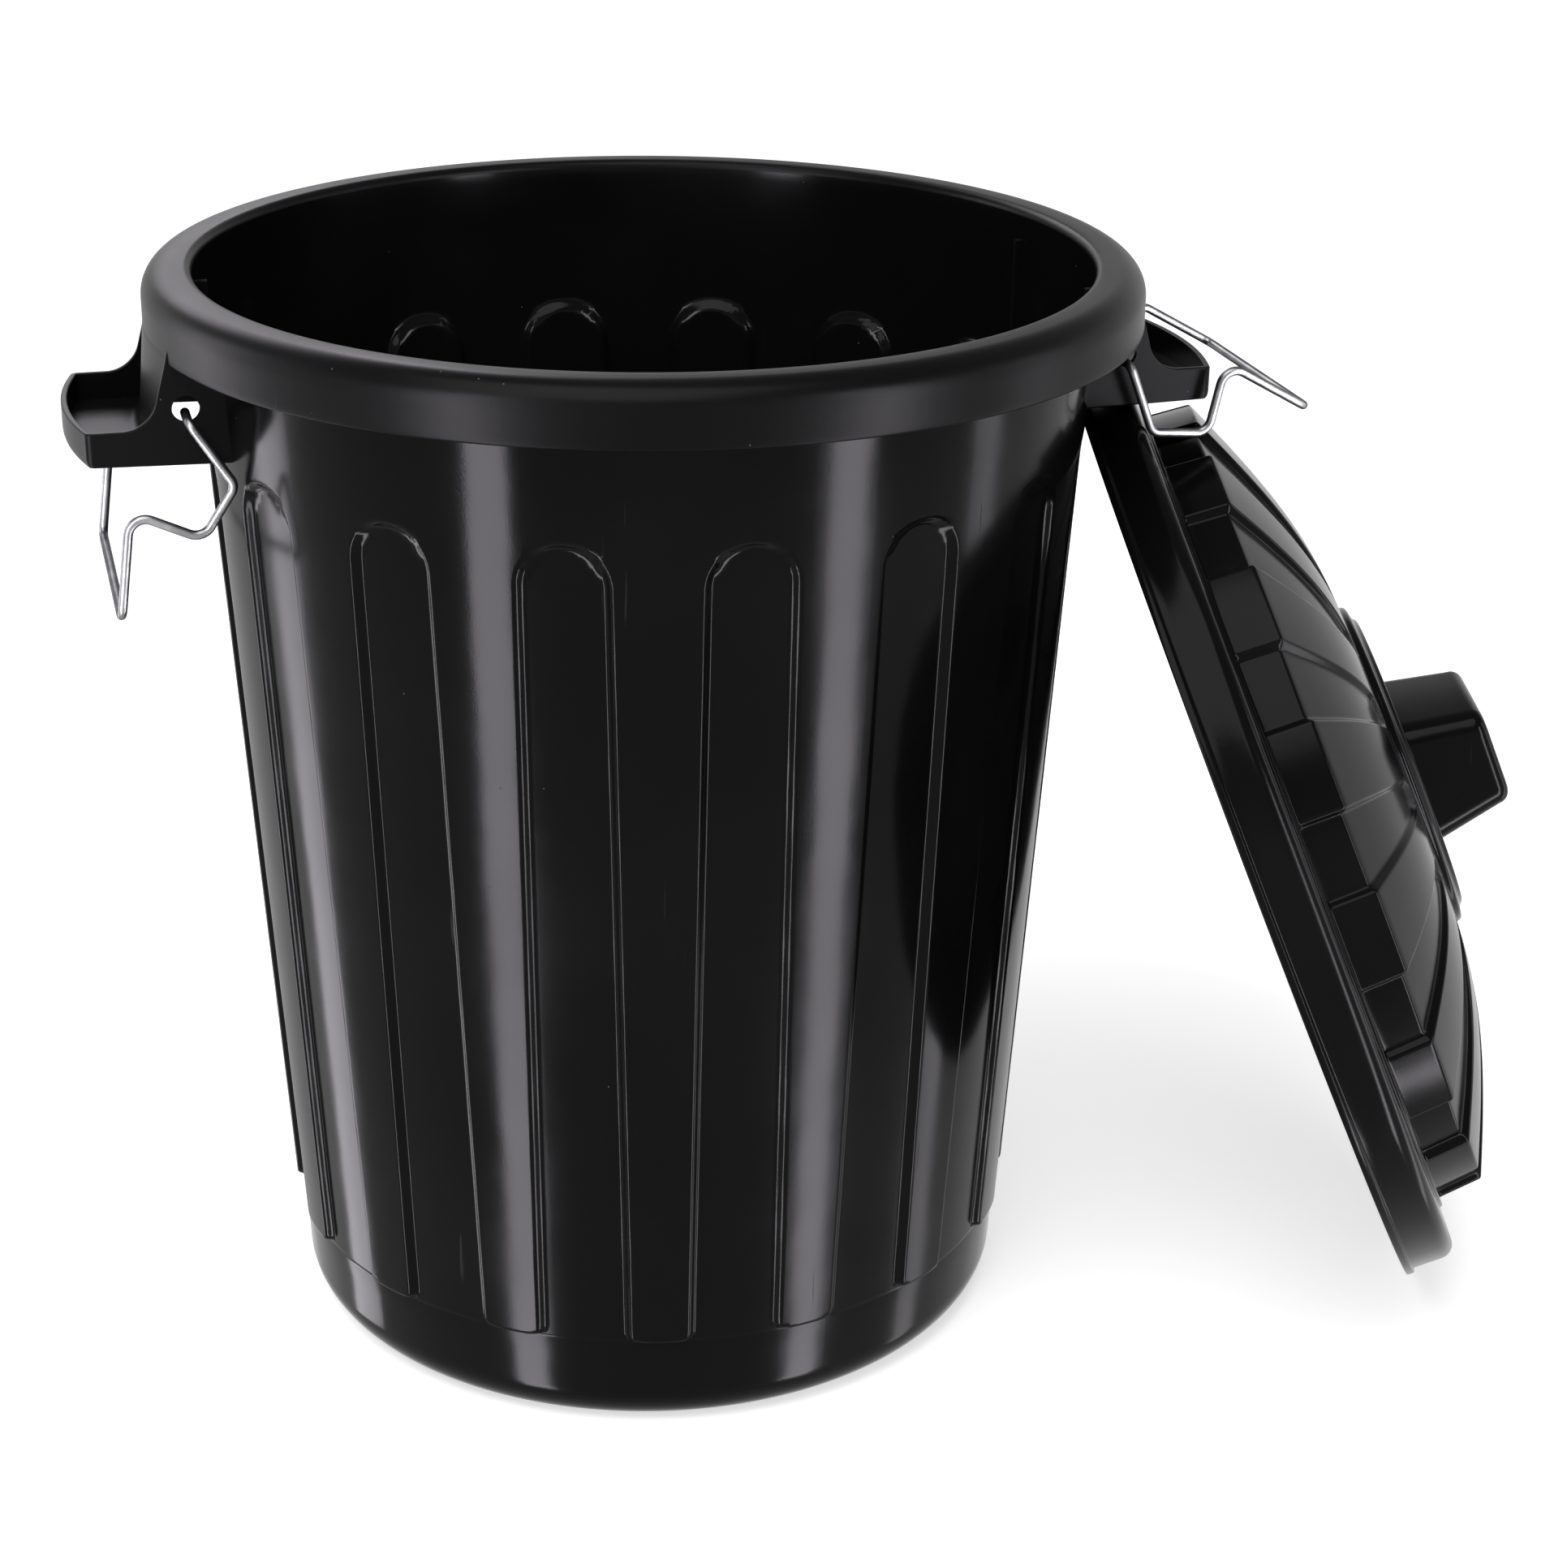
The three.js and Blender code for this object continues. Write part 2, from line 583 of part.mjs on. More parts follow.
function knob() {
  return stacked([
    knobLevel(KNOB_FOOT, DISC_TOP_HEIGHT - LID_WALL / 2),
    knobLevel(KNOB_TOP, knobTopHeight - KNOB_ROUNDING),
    knobLevel(KNOB_TOP, knobTopHeight - KNOB_ROUNDING / 3, KNOB_ROUNDING / 3),
    knobLevel(KNOB_TOP, knobTopHeight, KNOB_ROUNDING),
  ]);
}

// The knob is open from below.
function knobHollow() {
  return stacked([
    knobLevel(KNOB_FOOT, DISC_TOP_HEIGHT - 2 * LID_WALL, KNOB_WALL),
    knobLevel(KNOB_TOP, knobTopHeight - KNOB_WALL, KNOB_WALL),
  ]);
}

function lidBody() {
  const phase = BLOCK_PHASE + 180 / FLUTE_COUNT;
  const wedges = allRound(raised(wedgeOutline(0, lidEdge), drumFoot, DISC_TOP_HEIGHT),
    FLUTE_COUNT, phase);
  const outside = turned(lidOutside(0, 0))
    .subtract(wedges.subtract(turned(lidOutside(BLOCK_RELIEF, DOME_RELIEF))));
  const wedgeBacks = allRound(raised(wedgeOutline(LID_WALL, ledgeInner),
    SKIRT_HEIGHT / 2, DISC_TOP_HEIGHT), FLUTE_COUNT, phase);
  const inside = lidInside(0, 0).subtract(wedgeBacks)
    .add(lidInside(BLOCK_RELIEF, DOME_RELIEF));
  return outside.add(knob()).subtract(inside).subtract(knobHollow());
}

// The lid stands on the lowest point of its free edge and leans in until that edge meets
// the wall. lean is the angle of the free edge from upright.
function lidPlacement(lean) {
  const facing = rad(LID_FACING);
  const bearing = rad(LID_FOOT_BEARING);
  const normal = v3(Math.cos(lean) * Math.cos(facing), Math.cos(lean) * Math.sin(facing),
    Math.sin(lean));
  const up = v3(-Math.sin(lean) * Math.cos(facing), -Math.sin(lean) * Math.sin(facing),
    Math.cos(lean));
  const across = normal.clone().cross(up);
  const foot = v3(LID_FOOT_REACH * Math.cos(bearing), LID_FOOT_REACH * Math.sin(bearing), 0);
  const middle = foot.addScaledVector(up, lidEdge);
  return new THREE.Matrix4().makeBasis(up, across, normal).setPosition(middle);
}

// The gap to the wall is kept along the way the lid faces, so that the lid can also be
// drawn out sideways, along its own edge.
function edgeMeetsWall(lean) {
  const place = lidPlacement(lean);
  const [alongX, alongY] = [Math.cos(rad(LID_FACING)), Math.sin(rad(LID_FACING))];
  for (let i = 0; i < 720; i += 1) {
    const angle = (i * Math.PI) / 360;
    const p = v3(lidEdge * Math.cos(angle), lidEdge * Math.sin(angle), 0).applyMatrix4(place);
    if (p.x * alongX + p.y * alongY < wallRadius(p.z) + CLEAR) return true;
  }
  return false;
}

const lean = halve(0, rad(80), edgeMeetsWall) - 1e-6;
const lidPlace = lidPlacement(lean);

// Distance from a point to a closed outline, or 0 within it.
function distanceOutside(point, outline) {
  let nearest = Infinity;
  let within = false;
  outline.forEach((b, i) => {
    const a = outline[(i + outline.length - 1) % outline.length];
    const side = b.clone().sub(a);
    const share = THREE.MathUtils.clamp(point.clone().sub(a).dot(side) / side.lengthSq(), 0, 1);
    nearest = Math.min(nearest, a.clone().addScaledVector(side, share).distanceTo(point));
    const crosses = (a.y > point.y) !== (b.y > point.y);
    if (crosses && point.x < a.x + (side.x * (point.y - a.y)) / side.y) within = !within;
  });
  return within ? 0 : nearest;
}

// The right bail lies over the lid's upper edge. Its near arm and its bar leave room for
// the whole lid as it is drawn out sideways, its far arm for the lid where it leans.
const toLid = lidPlace.clone().invert();
const lidOutline = lidOutside(0, 0);
const clearOfLid = (angle) => tested.every((point) => {
  const inLid = swungOut(point, angle).applyMatrix4(toLid);
  const fromAxis = point.y > HANDLE_HALF ? Math.hypot(inLid.x, inLid.y) : Math.abs(inLid.x);
  return distanceOutside(v2(fromAxis, inLid.z), lidOutline) > wireRadius + CLEAR;
});
const liftedAngle = halve(45, 90, clearOfLid);

// ---------------------------------------------------------------- the assembly
const bin = new THREE.Group();
bin.add(toMesh('can_body', canBody(), PLASTIC));

const leaningLid = toMesh('lid', lidBody(), PLASTIC);
leaningLid.applyMatrix4(lidPlace);
bin.add(leaningLid);

bin.add(toMesh('right_bail', bail(liftedAngle), ZINC_WIRE));

const leftSide = new THREE.Group();
leftSide.rotation.z = Math.PI;
leftSide.add(toMesh('left_bail', bail(HANGING_ANGLE), ZINC_WIRE));
bin.add(leftSide);

export default bin;
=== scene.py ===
# %% [markdown]
# # A black refuse bin with its lid off
#
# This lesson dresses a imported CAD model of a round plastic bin. The CAD part stays as the
# fixed frame: it says where every piece is and how the lid and the two wire bails move.
# Each piece is then built again here with soft edges, fine relief and a real finish, in the
# same place and at the same size. Everything is in metres, with +Z up and the two handles
# along X.

# %% Load the frame
import math

import bmesh
import bpy
import numpy as np
from mathutils import Matrix, Vector


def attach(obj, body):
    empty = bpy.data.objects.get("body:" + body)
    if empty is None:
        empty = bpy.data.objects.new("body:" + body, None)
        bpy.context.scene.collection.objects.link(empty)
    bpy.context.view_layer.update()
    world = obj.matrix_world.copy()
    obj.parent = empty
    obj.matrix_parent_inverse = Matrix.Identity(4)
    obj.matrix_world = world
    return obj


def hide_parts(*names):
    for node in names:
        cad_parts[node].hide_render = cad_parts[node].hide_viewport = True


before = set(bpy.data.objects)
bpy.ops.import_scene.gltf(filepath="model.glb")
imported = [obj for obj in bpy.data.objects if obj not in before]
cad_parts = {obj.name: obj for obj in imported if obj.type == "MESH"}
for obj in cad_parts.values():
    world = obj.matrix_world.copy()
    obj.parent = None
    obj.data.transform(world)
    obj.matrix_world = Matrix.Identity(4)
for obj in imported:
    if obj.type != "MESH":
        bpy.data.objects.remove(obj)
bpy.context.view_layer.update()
MM = 0.001
print("nodes:", sorted(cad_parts))

# %% [markdown]
# ## The camera
#
# The camera was found by fitting a pinhole camera to the photograph: it stands about 1.6 m
# in front of the bin and looks 22 degrees down on it. The handles point 12.5 degrees away
# from the picture plane, so the camera is turned by that angle about the bin's own axis.

# %% Camera at the photograph's viewing angle
HANDLE_TURN = math.radians(-12.5)
YAW, PITCH, ROLL = (math.radians(a) for a in (2.590, 22.49, 0.705))
STANDS_BACK, STANDS_UP = 1.5621, 0.9211
FOCAL_PIXELS, IMAGE_HEIGHT, SENSOR = 3967.0, 1932, 36.0

camera_right = Vector((math.cos(YAW), -math.sin(YAW), 0))
camera_ahead = Vector((math.sin(YAW) * math.cos(PITCH), math.cos(YAW) * math.cos(PITCH),
                       -math.sin(PITCH)))
camera_up = camera_right.cross(camera_ahead)
rolled_right = camera_right * math.cos(ROLL) + camera_up * math.sin(ROLL)
rolled_up = camera_up * math.cos(ROLL) - camera_right * math.sin(ROLL)
looking = Matrix((rolled_right, rolled_up, -camera_ahead)).transposed().to_4x4()
standing = Matrix.Translation((0, -STANDS_BACK, STANDS_UP))

camera = bpy.data.objects.new("camera", bpy.data.cameras.new("camera"))
bpy.context.scene.collection.objects.link(camera)
camera.data.sensor_width = SENSOR
camera.data.lens = FOCAL_PIXELS * SENSOR / IMAGE_HEIGHT
camera.matrix_world = Matrix.Rotation(HANDLE_TURN, 4, "Z") @ standing @ looking
bpy.context.scene.camera = camera
bpy.context.scene.view_settings.view_transform = "Standard"
print("camera at", [round(x, 4) for x in camera.matrix_world.translation],
      "lens", round(camera.data.lens, 2))

# %% [markdown]
# ## Small helpers
#
# Node trees are easier to read when a socket can be used like a number. `Number` wraps a
# socket, so that `a * b + c` adds the Math nodes by itself, in a geometry tree as well as in
# a material.

# %% Numbers in node trees
class Number:
    """A socket in a node tree that can be used in a formula."""

    def __init__(self, tree, socket):
        self.tree, self.socket = tree, socket

    def math(self, operation, *others, clamp=False):
        node = self.tree.nodes.new("ShaderNodeMath")
        node.operation, node.use_clamp = operation, clamp
        for place, value in zip(node.inputs, (self, *others)):
            if isinstance(value, Number):
                self.tree.links.new(value.socket, place)
            else:
                place.default_value = value
        return Number(self.tree, node.outputs[0])

    def __add__(self, other):
        return self.math("ADD", other)

    def __sub__(self, other):
        return self.math("SUBTRACT", other)

    def __mul__(self, other):
        return self.math("MULTIPLY", other)

    def __truediv__(self, other):
        return self.math("DIVIDE", other)

    def rsub(self, value):
        """value minus this number."""
        return (self * -1.0) + value

    def eased(self, low, high):
        """0 below low, 1 above high, and a smooth S between them."""
        t = ((self - low) / (high - low)).math("ADD", 0.0, clamp=True)
        return t * t * (t * -2.0 + 3.0)


def link_object(name, mesh):
    thing = bpy.data.objects.new(name, mesh)
    bpy.context.scene.collection.objects.link(thing)
    return thing


def mesh_of(name, vertices, faces, smooth=True):
    mesh = bpy.data.meshes.new(name)
    mesh.from_pydata([tuple(v) for v in vertices], [], [tuple(f) for f in faces])
    mesh.shade_smooth() if smooth else mesh.shade_flat()
    mesh.update()
    return mesh


def ring_faces(rows, count):
    """Faces between rings of count points each, with both ends closed."""
    faces = [(i * count + j, i * count + (j + 1) % count, (i + 1) * count + (j + 1) % count,
              (i + 1) * count + j) for i in range(rows - 1) for j in range(count)]
    last = (rows - 1) * count
    return faces + [tuple(reversed(range(count))), tuple(last + j for j in range(count))]


def outward(thing):
    """Turns every face of a closed piece outwards."""
    form = bmesh.new()
    form.from_mesh(thing.data)
    bmesh.ops.recalc_face_normals(form, faces=form.faces)
    form.to_mesh(thing.data)
    form.free()
    return thing


def baked(thing):
    """Turns a piece and its modifiers into a plain mesh."""
    graph = bpy.context.evaluated_depsgraph_get()
    mesh = bpy.data.meshes.new_from_object(thing.evaluated_get(graph))
    thing.modifiers.clear()
    thing.data = mesh
    return thing


def triangles(thing):
    return sum(len(p.vertices) - 2 for p in thing.data.polygons)


print("helpers ready")

# %% [markdown]
# A turned form is a profile carried round an axis. The columns aren't evenly spaced: they
# crowd where the pressed flutes have their edges, and spread out where the wall is plain.
# That keeps the edges crisp without a heavy mesh. The points of the inner wall are marked,
# so that a node tree can treat the back of a pressed form as the back.

# %% Turned forms with columns where the edges are
def columns(count, phase, half_pitch_marks):
    """Angles in radians of all columns, from the marks of one half pitch in degrees."""
    pitch = 360.0 / count
    half = sorted(set(half_pitch_marks))
    one = sorted({round(sign * m, 6) for m in half for sign in (-1, 1)})
    one = [m for m in one if -pitch / 2 < m <= pitch / 2 + 1e-9]
    return np.radians([phase + k * pitch + m for k in range(count) for m in one])


def spread(*stretches):
    """Marks from stretches of (from, to, step)."""
    marks = []
    for low, high, step in stretches:
        marks += list(np.linspace(low, high, max(1, round((high - low) / step)) + 1))
    return [round(float(m), 6) for m in marks]


def turned(name, profile, angles, inner_from, inner_to):
    """A closed form from a profile of (radius, height) in mm that starts and ends on the axis."""
    rings = np.array(profile[1:-1], float) * MM
    around = len(angles)
    c, s = np.cos(angles), np.sin(angles)
    x, y = np.outer(rings[:, 0], c), np.outer(rings[:, 0], s)
    z = np.repeat(rings[:, 1:2], around, axis=1)
    vertices = np.stack([x, y, z], -1).reshape(-1, 3)
    poles = [(0, 0, profile[0][1] * MM), (0, 0, profile[-1][1] * MM)]
    first, last = len(vertices), len(vertices) + 1
    faces = []
    for i in range(len(rings) - 1):
        for j in range(around):
            k = (j + 1) % around
            faces.append((i * around + j, i * around + k, (i + 1) * around + k,
                          (i + 1) * around + j))
    top = (len(rings) - 1) * around
    for j in range(around):
        k = (j + 1) % around
        faces.append((first, k, j))
        faces.append((last, top + j, top + k))
    mesh = mesh_of(name, list(vertices) + poles, faces)
    inner = mesh.attributes.new("inner", "FLOAT", "POINT")
    marks = np.zeros(len(mesh.vertices), np.float32)
    marks[inner_from * around:inner_to * around] = 1
    inner.data.foreach_set("value", marks)
    return link_object(name, mesh)


def arc(x, y, radius, start, end, steps):
    """Points of an arc about (x, y), with its angles in degrees."""
    return [(x + radius * math.cos(math.radians(a)), y + radius * math.sin(math.radians(a)))
            for a in np.linspace(start, end, steps + 1)]


def level(x, low, high, step):
    """Points up or down a wall; x gives the radius at each height."""
    count = max(1, round(abs(high - low) / step))
    return [(x(z), z) for z in np.linspace(low, high, count + 1)]


print("columns of a 16 part form:", len(columns(16, 0, spread((0, 11.25, 1)))))

# %% [markdown]
# ## Floor, background and lamps
#
# The product stands on plain white. The floor is a pale matt plane that catches the shadow,
# with a share of its own light for the rays that come from the camera, so that it joins the
# white world without an edge. Black gloss plastic has hardly any colour of its own: it is
# drawn by what it mirrors. Tall narrow lamps beside the camera put the upright streaks on the
# round wall, and a broad soft one lights everything else.

# %% Floor and background
PALE = (0.93, 0.93, 0.93, 1)
FLOOR_OWN_LIGHT = 0.62


def seen_rays(tree):
    """1 for camera, mirror and glass rays, 0 for the rays that light the object."""
    path = tree.nodes.new("ShaderNodeLightPath")
    camera_ray = Number(tree, path.outputs["Is Camera Ray"])
    glossy = Number(tree, path.outputs["Is Glossy Ray"])
    passing = Number(tree, path.outputs["Is Transmission Ray"])
    return camera_ray.math("MAXIMUM", glossy).math("MAXIMUM", passing)


def pale_floor():
    material = bpy.data.materials.new("pale_floor")
    material.use_nodes = True
    tree = material.node_tree
    tree.nodes.clear()
    plain = tree.nodes.new("ShaderNodeBsdfDiffuse")
    plain.inputs["Color"].default_value = PALE
    own = tree.nodes.new("ShaderNodeEmission")
    tree.links.new((seen_rays(tree) * FLOOR_OWN_LIGHT).socket, own.inputs["Strength"])
    both = tree.nodes.new("ShaderNodeAddShader")
    tree.links.new(plain.outputs[0], both.inputs[0])
    tree.links.new(own.outputs[0], both.inputs[1])
    result = tree.nodes.new("ShaderNodeOutputMaterial")
    tree.links.new(both.outputs[0], result.inputs["Surface"])
    return material


FLOOR_HALF = 30.0
corners = [(-FLOOR_HALF, -FLOOR_HALF, 0), (FLOOR_HALF, -FLOOR_HALF, 0),
           (FLOOR_HALF, FLOOR_HALF, 0), (-FLOOR_HALF, FLOOR_HALF, 0)]
floor = link_object("floor", mesh_of("floor", corners, [(0, 1, 2, 3)], smooth=False))
floor.data.materials.append(pale_floor())
floor.visible_glossy = False
floor.visible_shadow = False

PLAIN_LIGHT = 0.42
world = bpy.data.worlds.new("white_studio")
bpy.context.scene.world = world
world.use_nodes = True
background = world.node_tree.nodes["Background"]
background.inputs["Color"].default_value = (1, 1, 1, 1)
CEILING, CEILING_FROM, CEILING_TO = 0.30, 0.20, 0.50
seen = seen_rays(world.node_tree)
way = world.node_tree.nodes.new("ShaderNodeSeparateXYZ")
world.node_tree.links.new(world.node_tree.nodes.new("ShaderNodeTexCoord").outputs["Generated"],
                          way.inputs[0])
overhead = Number(world.node_tree, way.outputs["Z"]).eased(CEILING_FROM, CEILING_TO)
white = (overhead * (CEILING - 1.0)) + 1.0
strength = seen * (white - PLAIN_LIGHT) + PLAIN_LIGHT
world.node_tree.links.new(strength.socket, background.inputs["Strength"])
print("floor and world ready")

# %% Lamps
AIM_HEIGHT = 0.3


def lamp(name, direction, distance, height, size, power, colour=(1, 1, 1)):
    """A soft box that looks at the bin. direction is in degrees from the camera, left is +."""
    light = bpy.data.lights.new(name, "AREA")
    light.shape = "RECTANGLE"
    light.size, light.size_y = size
    light.energy = power
    light.color = colour
    thing = bpy.data.objects.new(name, light)
    bpy.context.scene.collection.objects.link(thing)
    turn = HANDLE_TURN - math.radians(90 + direction)
    place = Vector((distance * math.cos(turn), distance * math.sin(turn), height))
    aim = Vector((0, 0, min(height, AIM_HEIGHT))) - place
    thing.matrix_world = (Matrix.Translation(place)
                          @ aim.to_track_quat("-Z", "Y").to_matrix().to_4x4())
    thing.visible_camera = False
    return thing


TINT = (1.0, 0.955, 1.03)
strips = [lamp("left_strip", 39, 1.9, -0.1, (0.36, 3.4), 92, TINT),
          lamp("right_strip", -50, 2.0, -0.1, (0.36, 3.4), 86, TINT),
          lamp("far_right_strip", -92, 2.0, -0.1, (0.30, 3.0), 14, TINT),
          lamp("far_left_box", 108, 2.2, 0.0, (0.60, 3.0), 40, TINT),
          lamp("back_left_box", 158, 2.6, 1.9, (1.5, 1.0), 26, TINT)]
for strip in strips:
    strip.visible_diffuse = False
lamp("top_box", 20, 1.2, 2.6, (2.2, 2.2), 60)

# %% [markdown]
# ## Black moulded plastic
#
# The bin and its lid are moulded from one black plastic. A fresh moulding is glossy where the
# mould was polished and duller where it was left plain, never perfectly even, and it picks up
# dust, scuffs and fine scratches. All of it comes from noise in the piece's own coordinates:
# the colour moves a little, dust shows as rare pale specks, and the roughness and the bump
# share the same scratches.

# %% Plastic material
def noise(tree, vector, scale, detail=3.0, rough=0.5):
    node = tree.nodes.new("ShaderNodeTexNoise")
    node.inputs["Scale"].default_value = scale
    node.inputs["Detail"].default_value = detail
    node.inputs["Roughness"].default_value = rough
    tree.links.new(vector, node.inputs["Vector"])
    return Number(tree, node.outputs["Fac"])


def mapped(tree, vector, turn, scale):
    node = tree.nodes.new("ShaderNodeMapping")
    node.inputs["Rotation"].default_value = [math.radians(a) for a in turn]
    node.inputs["Scale"].default_value = scale
    tree.links.new(vector, node.inputs["Vector"])
    return node.outputs[0]


def scratches(tree, vector, turn, amount):
    """Rare thin lines: a noise pulled out long, of which only the very peaks are kept."""
    lines = noise(tree, mapped(tree, vector, turn, (420, 9, 9)), 1.0, 2.0)
    patches = noise(tree, vector, 14.0, 1.0)
    return lines.eased(0.735, 0.78) * patches.eased(0.62 - amount, 0.72 - amount)


def specks(tree, vector, scale, share):
    """Dust: one small dot in a few of the cells of a Voronoi pattern."""
    cells = tree.nodes.new("ShaderNodeTexVoronoi")
    cells.inputs["Scale"].default_value = scale
    tree.links.new(vector, cells.inputs["Vector"])
    near = Number(tree, cells.outputs["Distance"]).eased(0.10, 0.05)
    split = tree.nodes.new("ShaderNodeSeparateColor")
    tree.links.new(cells.outputs["Color"], split.inputs[0])
    return near * Number(tree, split.outputs[0]).math("GREATER_THAN", 1.0 - share)


def black_plastic(name, roughness, gloss, grain, dust, waves):
    material = bpy.data.materials.new(name)
    material.use_nodes = True
    tree = material.node_tree
    shader = tree.nodes["Principled BSDF"]
    place = tree.nodes.new("ShaderNodeTexCoord").outputs["Object"]
    shader.inputs["Specular IOR Level"].default_value = gloss
    worn = scratches(tree, place, (25, 40, 10), 0.06) + scratches(tree, place, (70, 15, 120), 0.03)
    worn = worn.math("MINIMUM", 1.0)
    dots = specks(tree, place, 210.0, dust)
    edge = tree.nodes.new("ShaderNodeNewGeometry")
    edges = Number(tree, edge.outputs["Pointiness"]).eased(0.53, 0.62)
    cloud = noise(tree, place, 7.0, 4.0)
    film = cloud.eased(0.35, 0.75)
    grey = film * 0.0018 + 0.0030 + worn * 0.012 + dots * 0.10 + edges * 0.004
    colour = tree.nodes.new("ShaderNodeCombineColor")
    for channel, share in zip(colour.inputs, (1.04, 0.98, 1.08)):
        tree.links.new((grey * share).socket, channel)
    tree.links.new(colour.outputs[0], shader.inputs["Base Color"])
    fine = noise(tree, place, 900.0, 2.0)
    rough = film * 0.07 + fine * 0.04 + worn * 0.18 + dots * 0.3 + edges * 0.08 + (roughness - 0.04)
    tree.links.new(rough.math("MINIMUM", 0.9).socket, shader.inputs["Roughness"])
    swell = noise(tree, place, 16.0, 2.0)
    height = fine * grain + swell * waves - worn * 0.02 + dots * 0.05
    bump = tree.nodes.new("ShaderNodeBump")
    bump.inputs["Strength"].default_value = 1.0
    bump.inputs["Distance"].default_value = 0.001
    tree.links.new(height.socket, bump.inputs["Height"])
    tree.links.new(bump.outputs[0], shader.inputs["Normal"])
    return material


wall_plastic = black_plastic("black_wall_plastic", 0.13, 0.07, 0.010, 0.010, 0.30)
rim_plastic = black_plastic("black_rim_plastic", 0.34, 0.065, 0.030, 0.014, 0.10)
lid_plastic = black_plastic("black_lid_plastic", 0.17, 0.06, 0.016, 0.014, 0.20)
print("plastics:", [m.name for m in bpy.data.materials if "plastic" in m.name])

# %% [markdown]
# ## Zinc coated wire
#
# The two bails are sprung steel wire with a dull zinc coat. Drawing the wire through its die
# leaves fine lines along it, and the coat has pale and dark clouds. Each wire stores how far
# along it a point is and where it is round the wire, and the lines follow that.

# %% Wire material
def wire_finish():
    material = bpy.data.materials.new("zinc_wire_finish")
    material.use_nodes = True
    tree = material.node_tree
    shader = tree.nodes["Principled BSDF"]
    shader.inputs["Metallic"].default_value = 1.0
    shader.inputs["Specular Tint"].default_value = (0.3, 0.3, 0.31, 1.0)
    place = tree.nodes.new("ShaderNodeTexCoord").outputs["Object"]
    along = tree.nodes.new("ShaderNodeAttribute")
    along.attribute_name = "along"
    round_it = tree.nodes.new("ShaderNodeAttribute")
    round_it.attribute_name = "round_it"
    drawn = tree.nodes.new("ShaderNodeCombineXYZ")
    tree.links.new((Number(tree, along.outputs["Fac"]) * 26.0).socket, drawn.inputs[0])
    tree.links.new((Number(tree, round_it.outputs["Fac"]) * 13.0).socket, drawn.inputs[1])
    lines = noise(tree, drawn.outputs[0], 1.0, 4.0, 0.65)
    cloud = noise(tree, place, 90.0, 3.0)
    pits = specks(tree, place, 700.0, 0.05)
    tone = cloud.eased(0.3, 0.75) * 0.10 + lines * 0.10 + 0.16 - pits * 0.1
    colour = tree.nodes.new("ShaderNodeCombineColor")
    for channel, share in zip(colour.inputs, (0.99, 1.0, 1.015)):
        tree.links.new((tone * share).socket, channel)
    tree.links.new(colour.outputs[0], shader.inputs["Base Color"])
    tree.links.new((lines * 0.16 + cloud * 0.14 + 0.20).socket, shader.inputs["Roughness"])
    bump = tree.nodes.new("ShaderNodeBump")
    bump.inputs["Distance"].default_value = 0.0004
    bump.inputs["Strength"].default_value = 0.35
    tree.links.new((lines + pits * -0.5).socket, bump.inputs["Height"])
    tree.links.new(bump.outputs[0], shader.inputs["Normal"])
    return material


zinc_wire = wire_finish()
print("wire finish ready")

# %% [markdown]
# ## Trees that change a form by a rule
#
# The wall's flutes and the lid's blocks follow a rule: the same pressed form sixteen times
# round the axis. A Geometry Nodes tree moves the points of the plain turned form by that
# rule, with its sizes as named inputs.

# %% Building a tree with named sizes
class RuleTree:
    """A Geometry Nodes tree that ends in Realize Instances and Set Material."""

    def __init__(self, name, sizes):
        self.tree = bpy.data.node_groups.new(name, "GeometryNodeTree")
        face = self.tree.interface
        face.new_socket("Form", in_out="INPUT", socket_type="NodeSocketGeometry")
        self.sockets = {}
        for label, value in sizes.items():
            socket = face.new_socket(label, in_out="INPUT", socket_type="NodeSocketFloat")
            socket.default_value = value
            self.sockets[label] = socket.identifier
        face.new_socket("Form", in_out="OUTPUT", socket_type="NodeSocketGeometry")
        self.start = self.node("NodeGroupInput")
        self.sizes = sizes

    def node(self, kind, **inputs):
        node = self.tree.nodes.new(kind)
        for label, value in inputs.items():
            self.put(node.inputs[label.replace("_", " ")], value)
        return node

    def put(self, socket, value):
        if isinstance(value, Number):
            value = value.socket
        if isinstance(value, bpy.types.NodeSocket):
            self.tree.links.new(value, socket)
        else:
            socket.default_value = value

    def size(self, label):
        return Number(self.tree, self.start.outputs[label])

    def mark(self, name):
        node = self.node("GeometryNodeInputNamedAttribute")
        node.data_type = "FLOAT"
        node.inputs["Name"].default_value = name
        return Number(self.tree, node.outputs["Attribute"])

    def finish(self, geometry, material):
        real = self.node("GeometryNodeRealizeInstances", Geometry=geometry)
        dressed = self.node("GeometryNodeSetMaterial", Geometry=real.outputs[0])
        dressed.inputs["Material"].default_value = material
        end = self.node("NodeGroupOutput")
        self.tree.links.new(dressed.outputs[0], end.inputs[0])

    def apply(self, thing):
        modifier = thing.modifiers.new(self.tree.name, "NODES")
        modifier.node_group = self.tree
        for label, value in self.sizes.items():
            modifier[self.sockets[label]] = value
        return baked(thing)


def cylinder_fields(rule, phase):
    """Radius, folded angle and height of a point, and its x and y."""
    place = rule.node("GeometryNodeInputPosition")
    split = rule.node("ShaderNodeSeparateXYZ", Vector=place.outputs[0])
    x, y, z = (Number(rule.tree, out) for out in split.outputs)
    radius = (x * x + y * y).math("SQRT")
    angle = y.math("ARCTAN2", x) - phase
    pitch = rule.size("Pitch")
    whole = (angle / pitch).math("ROUND") * pitch
    return x, y, z, radius, angle - whole


print("rule trees ready")

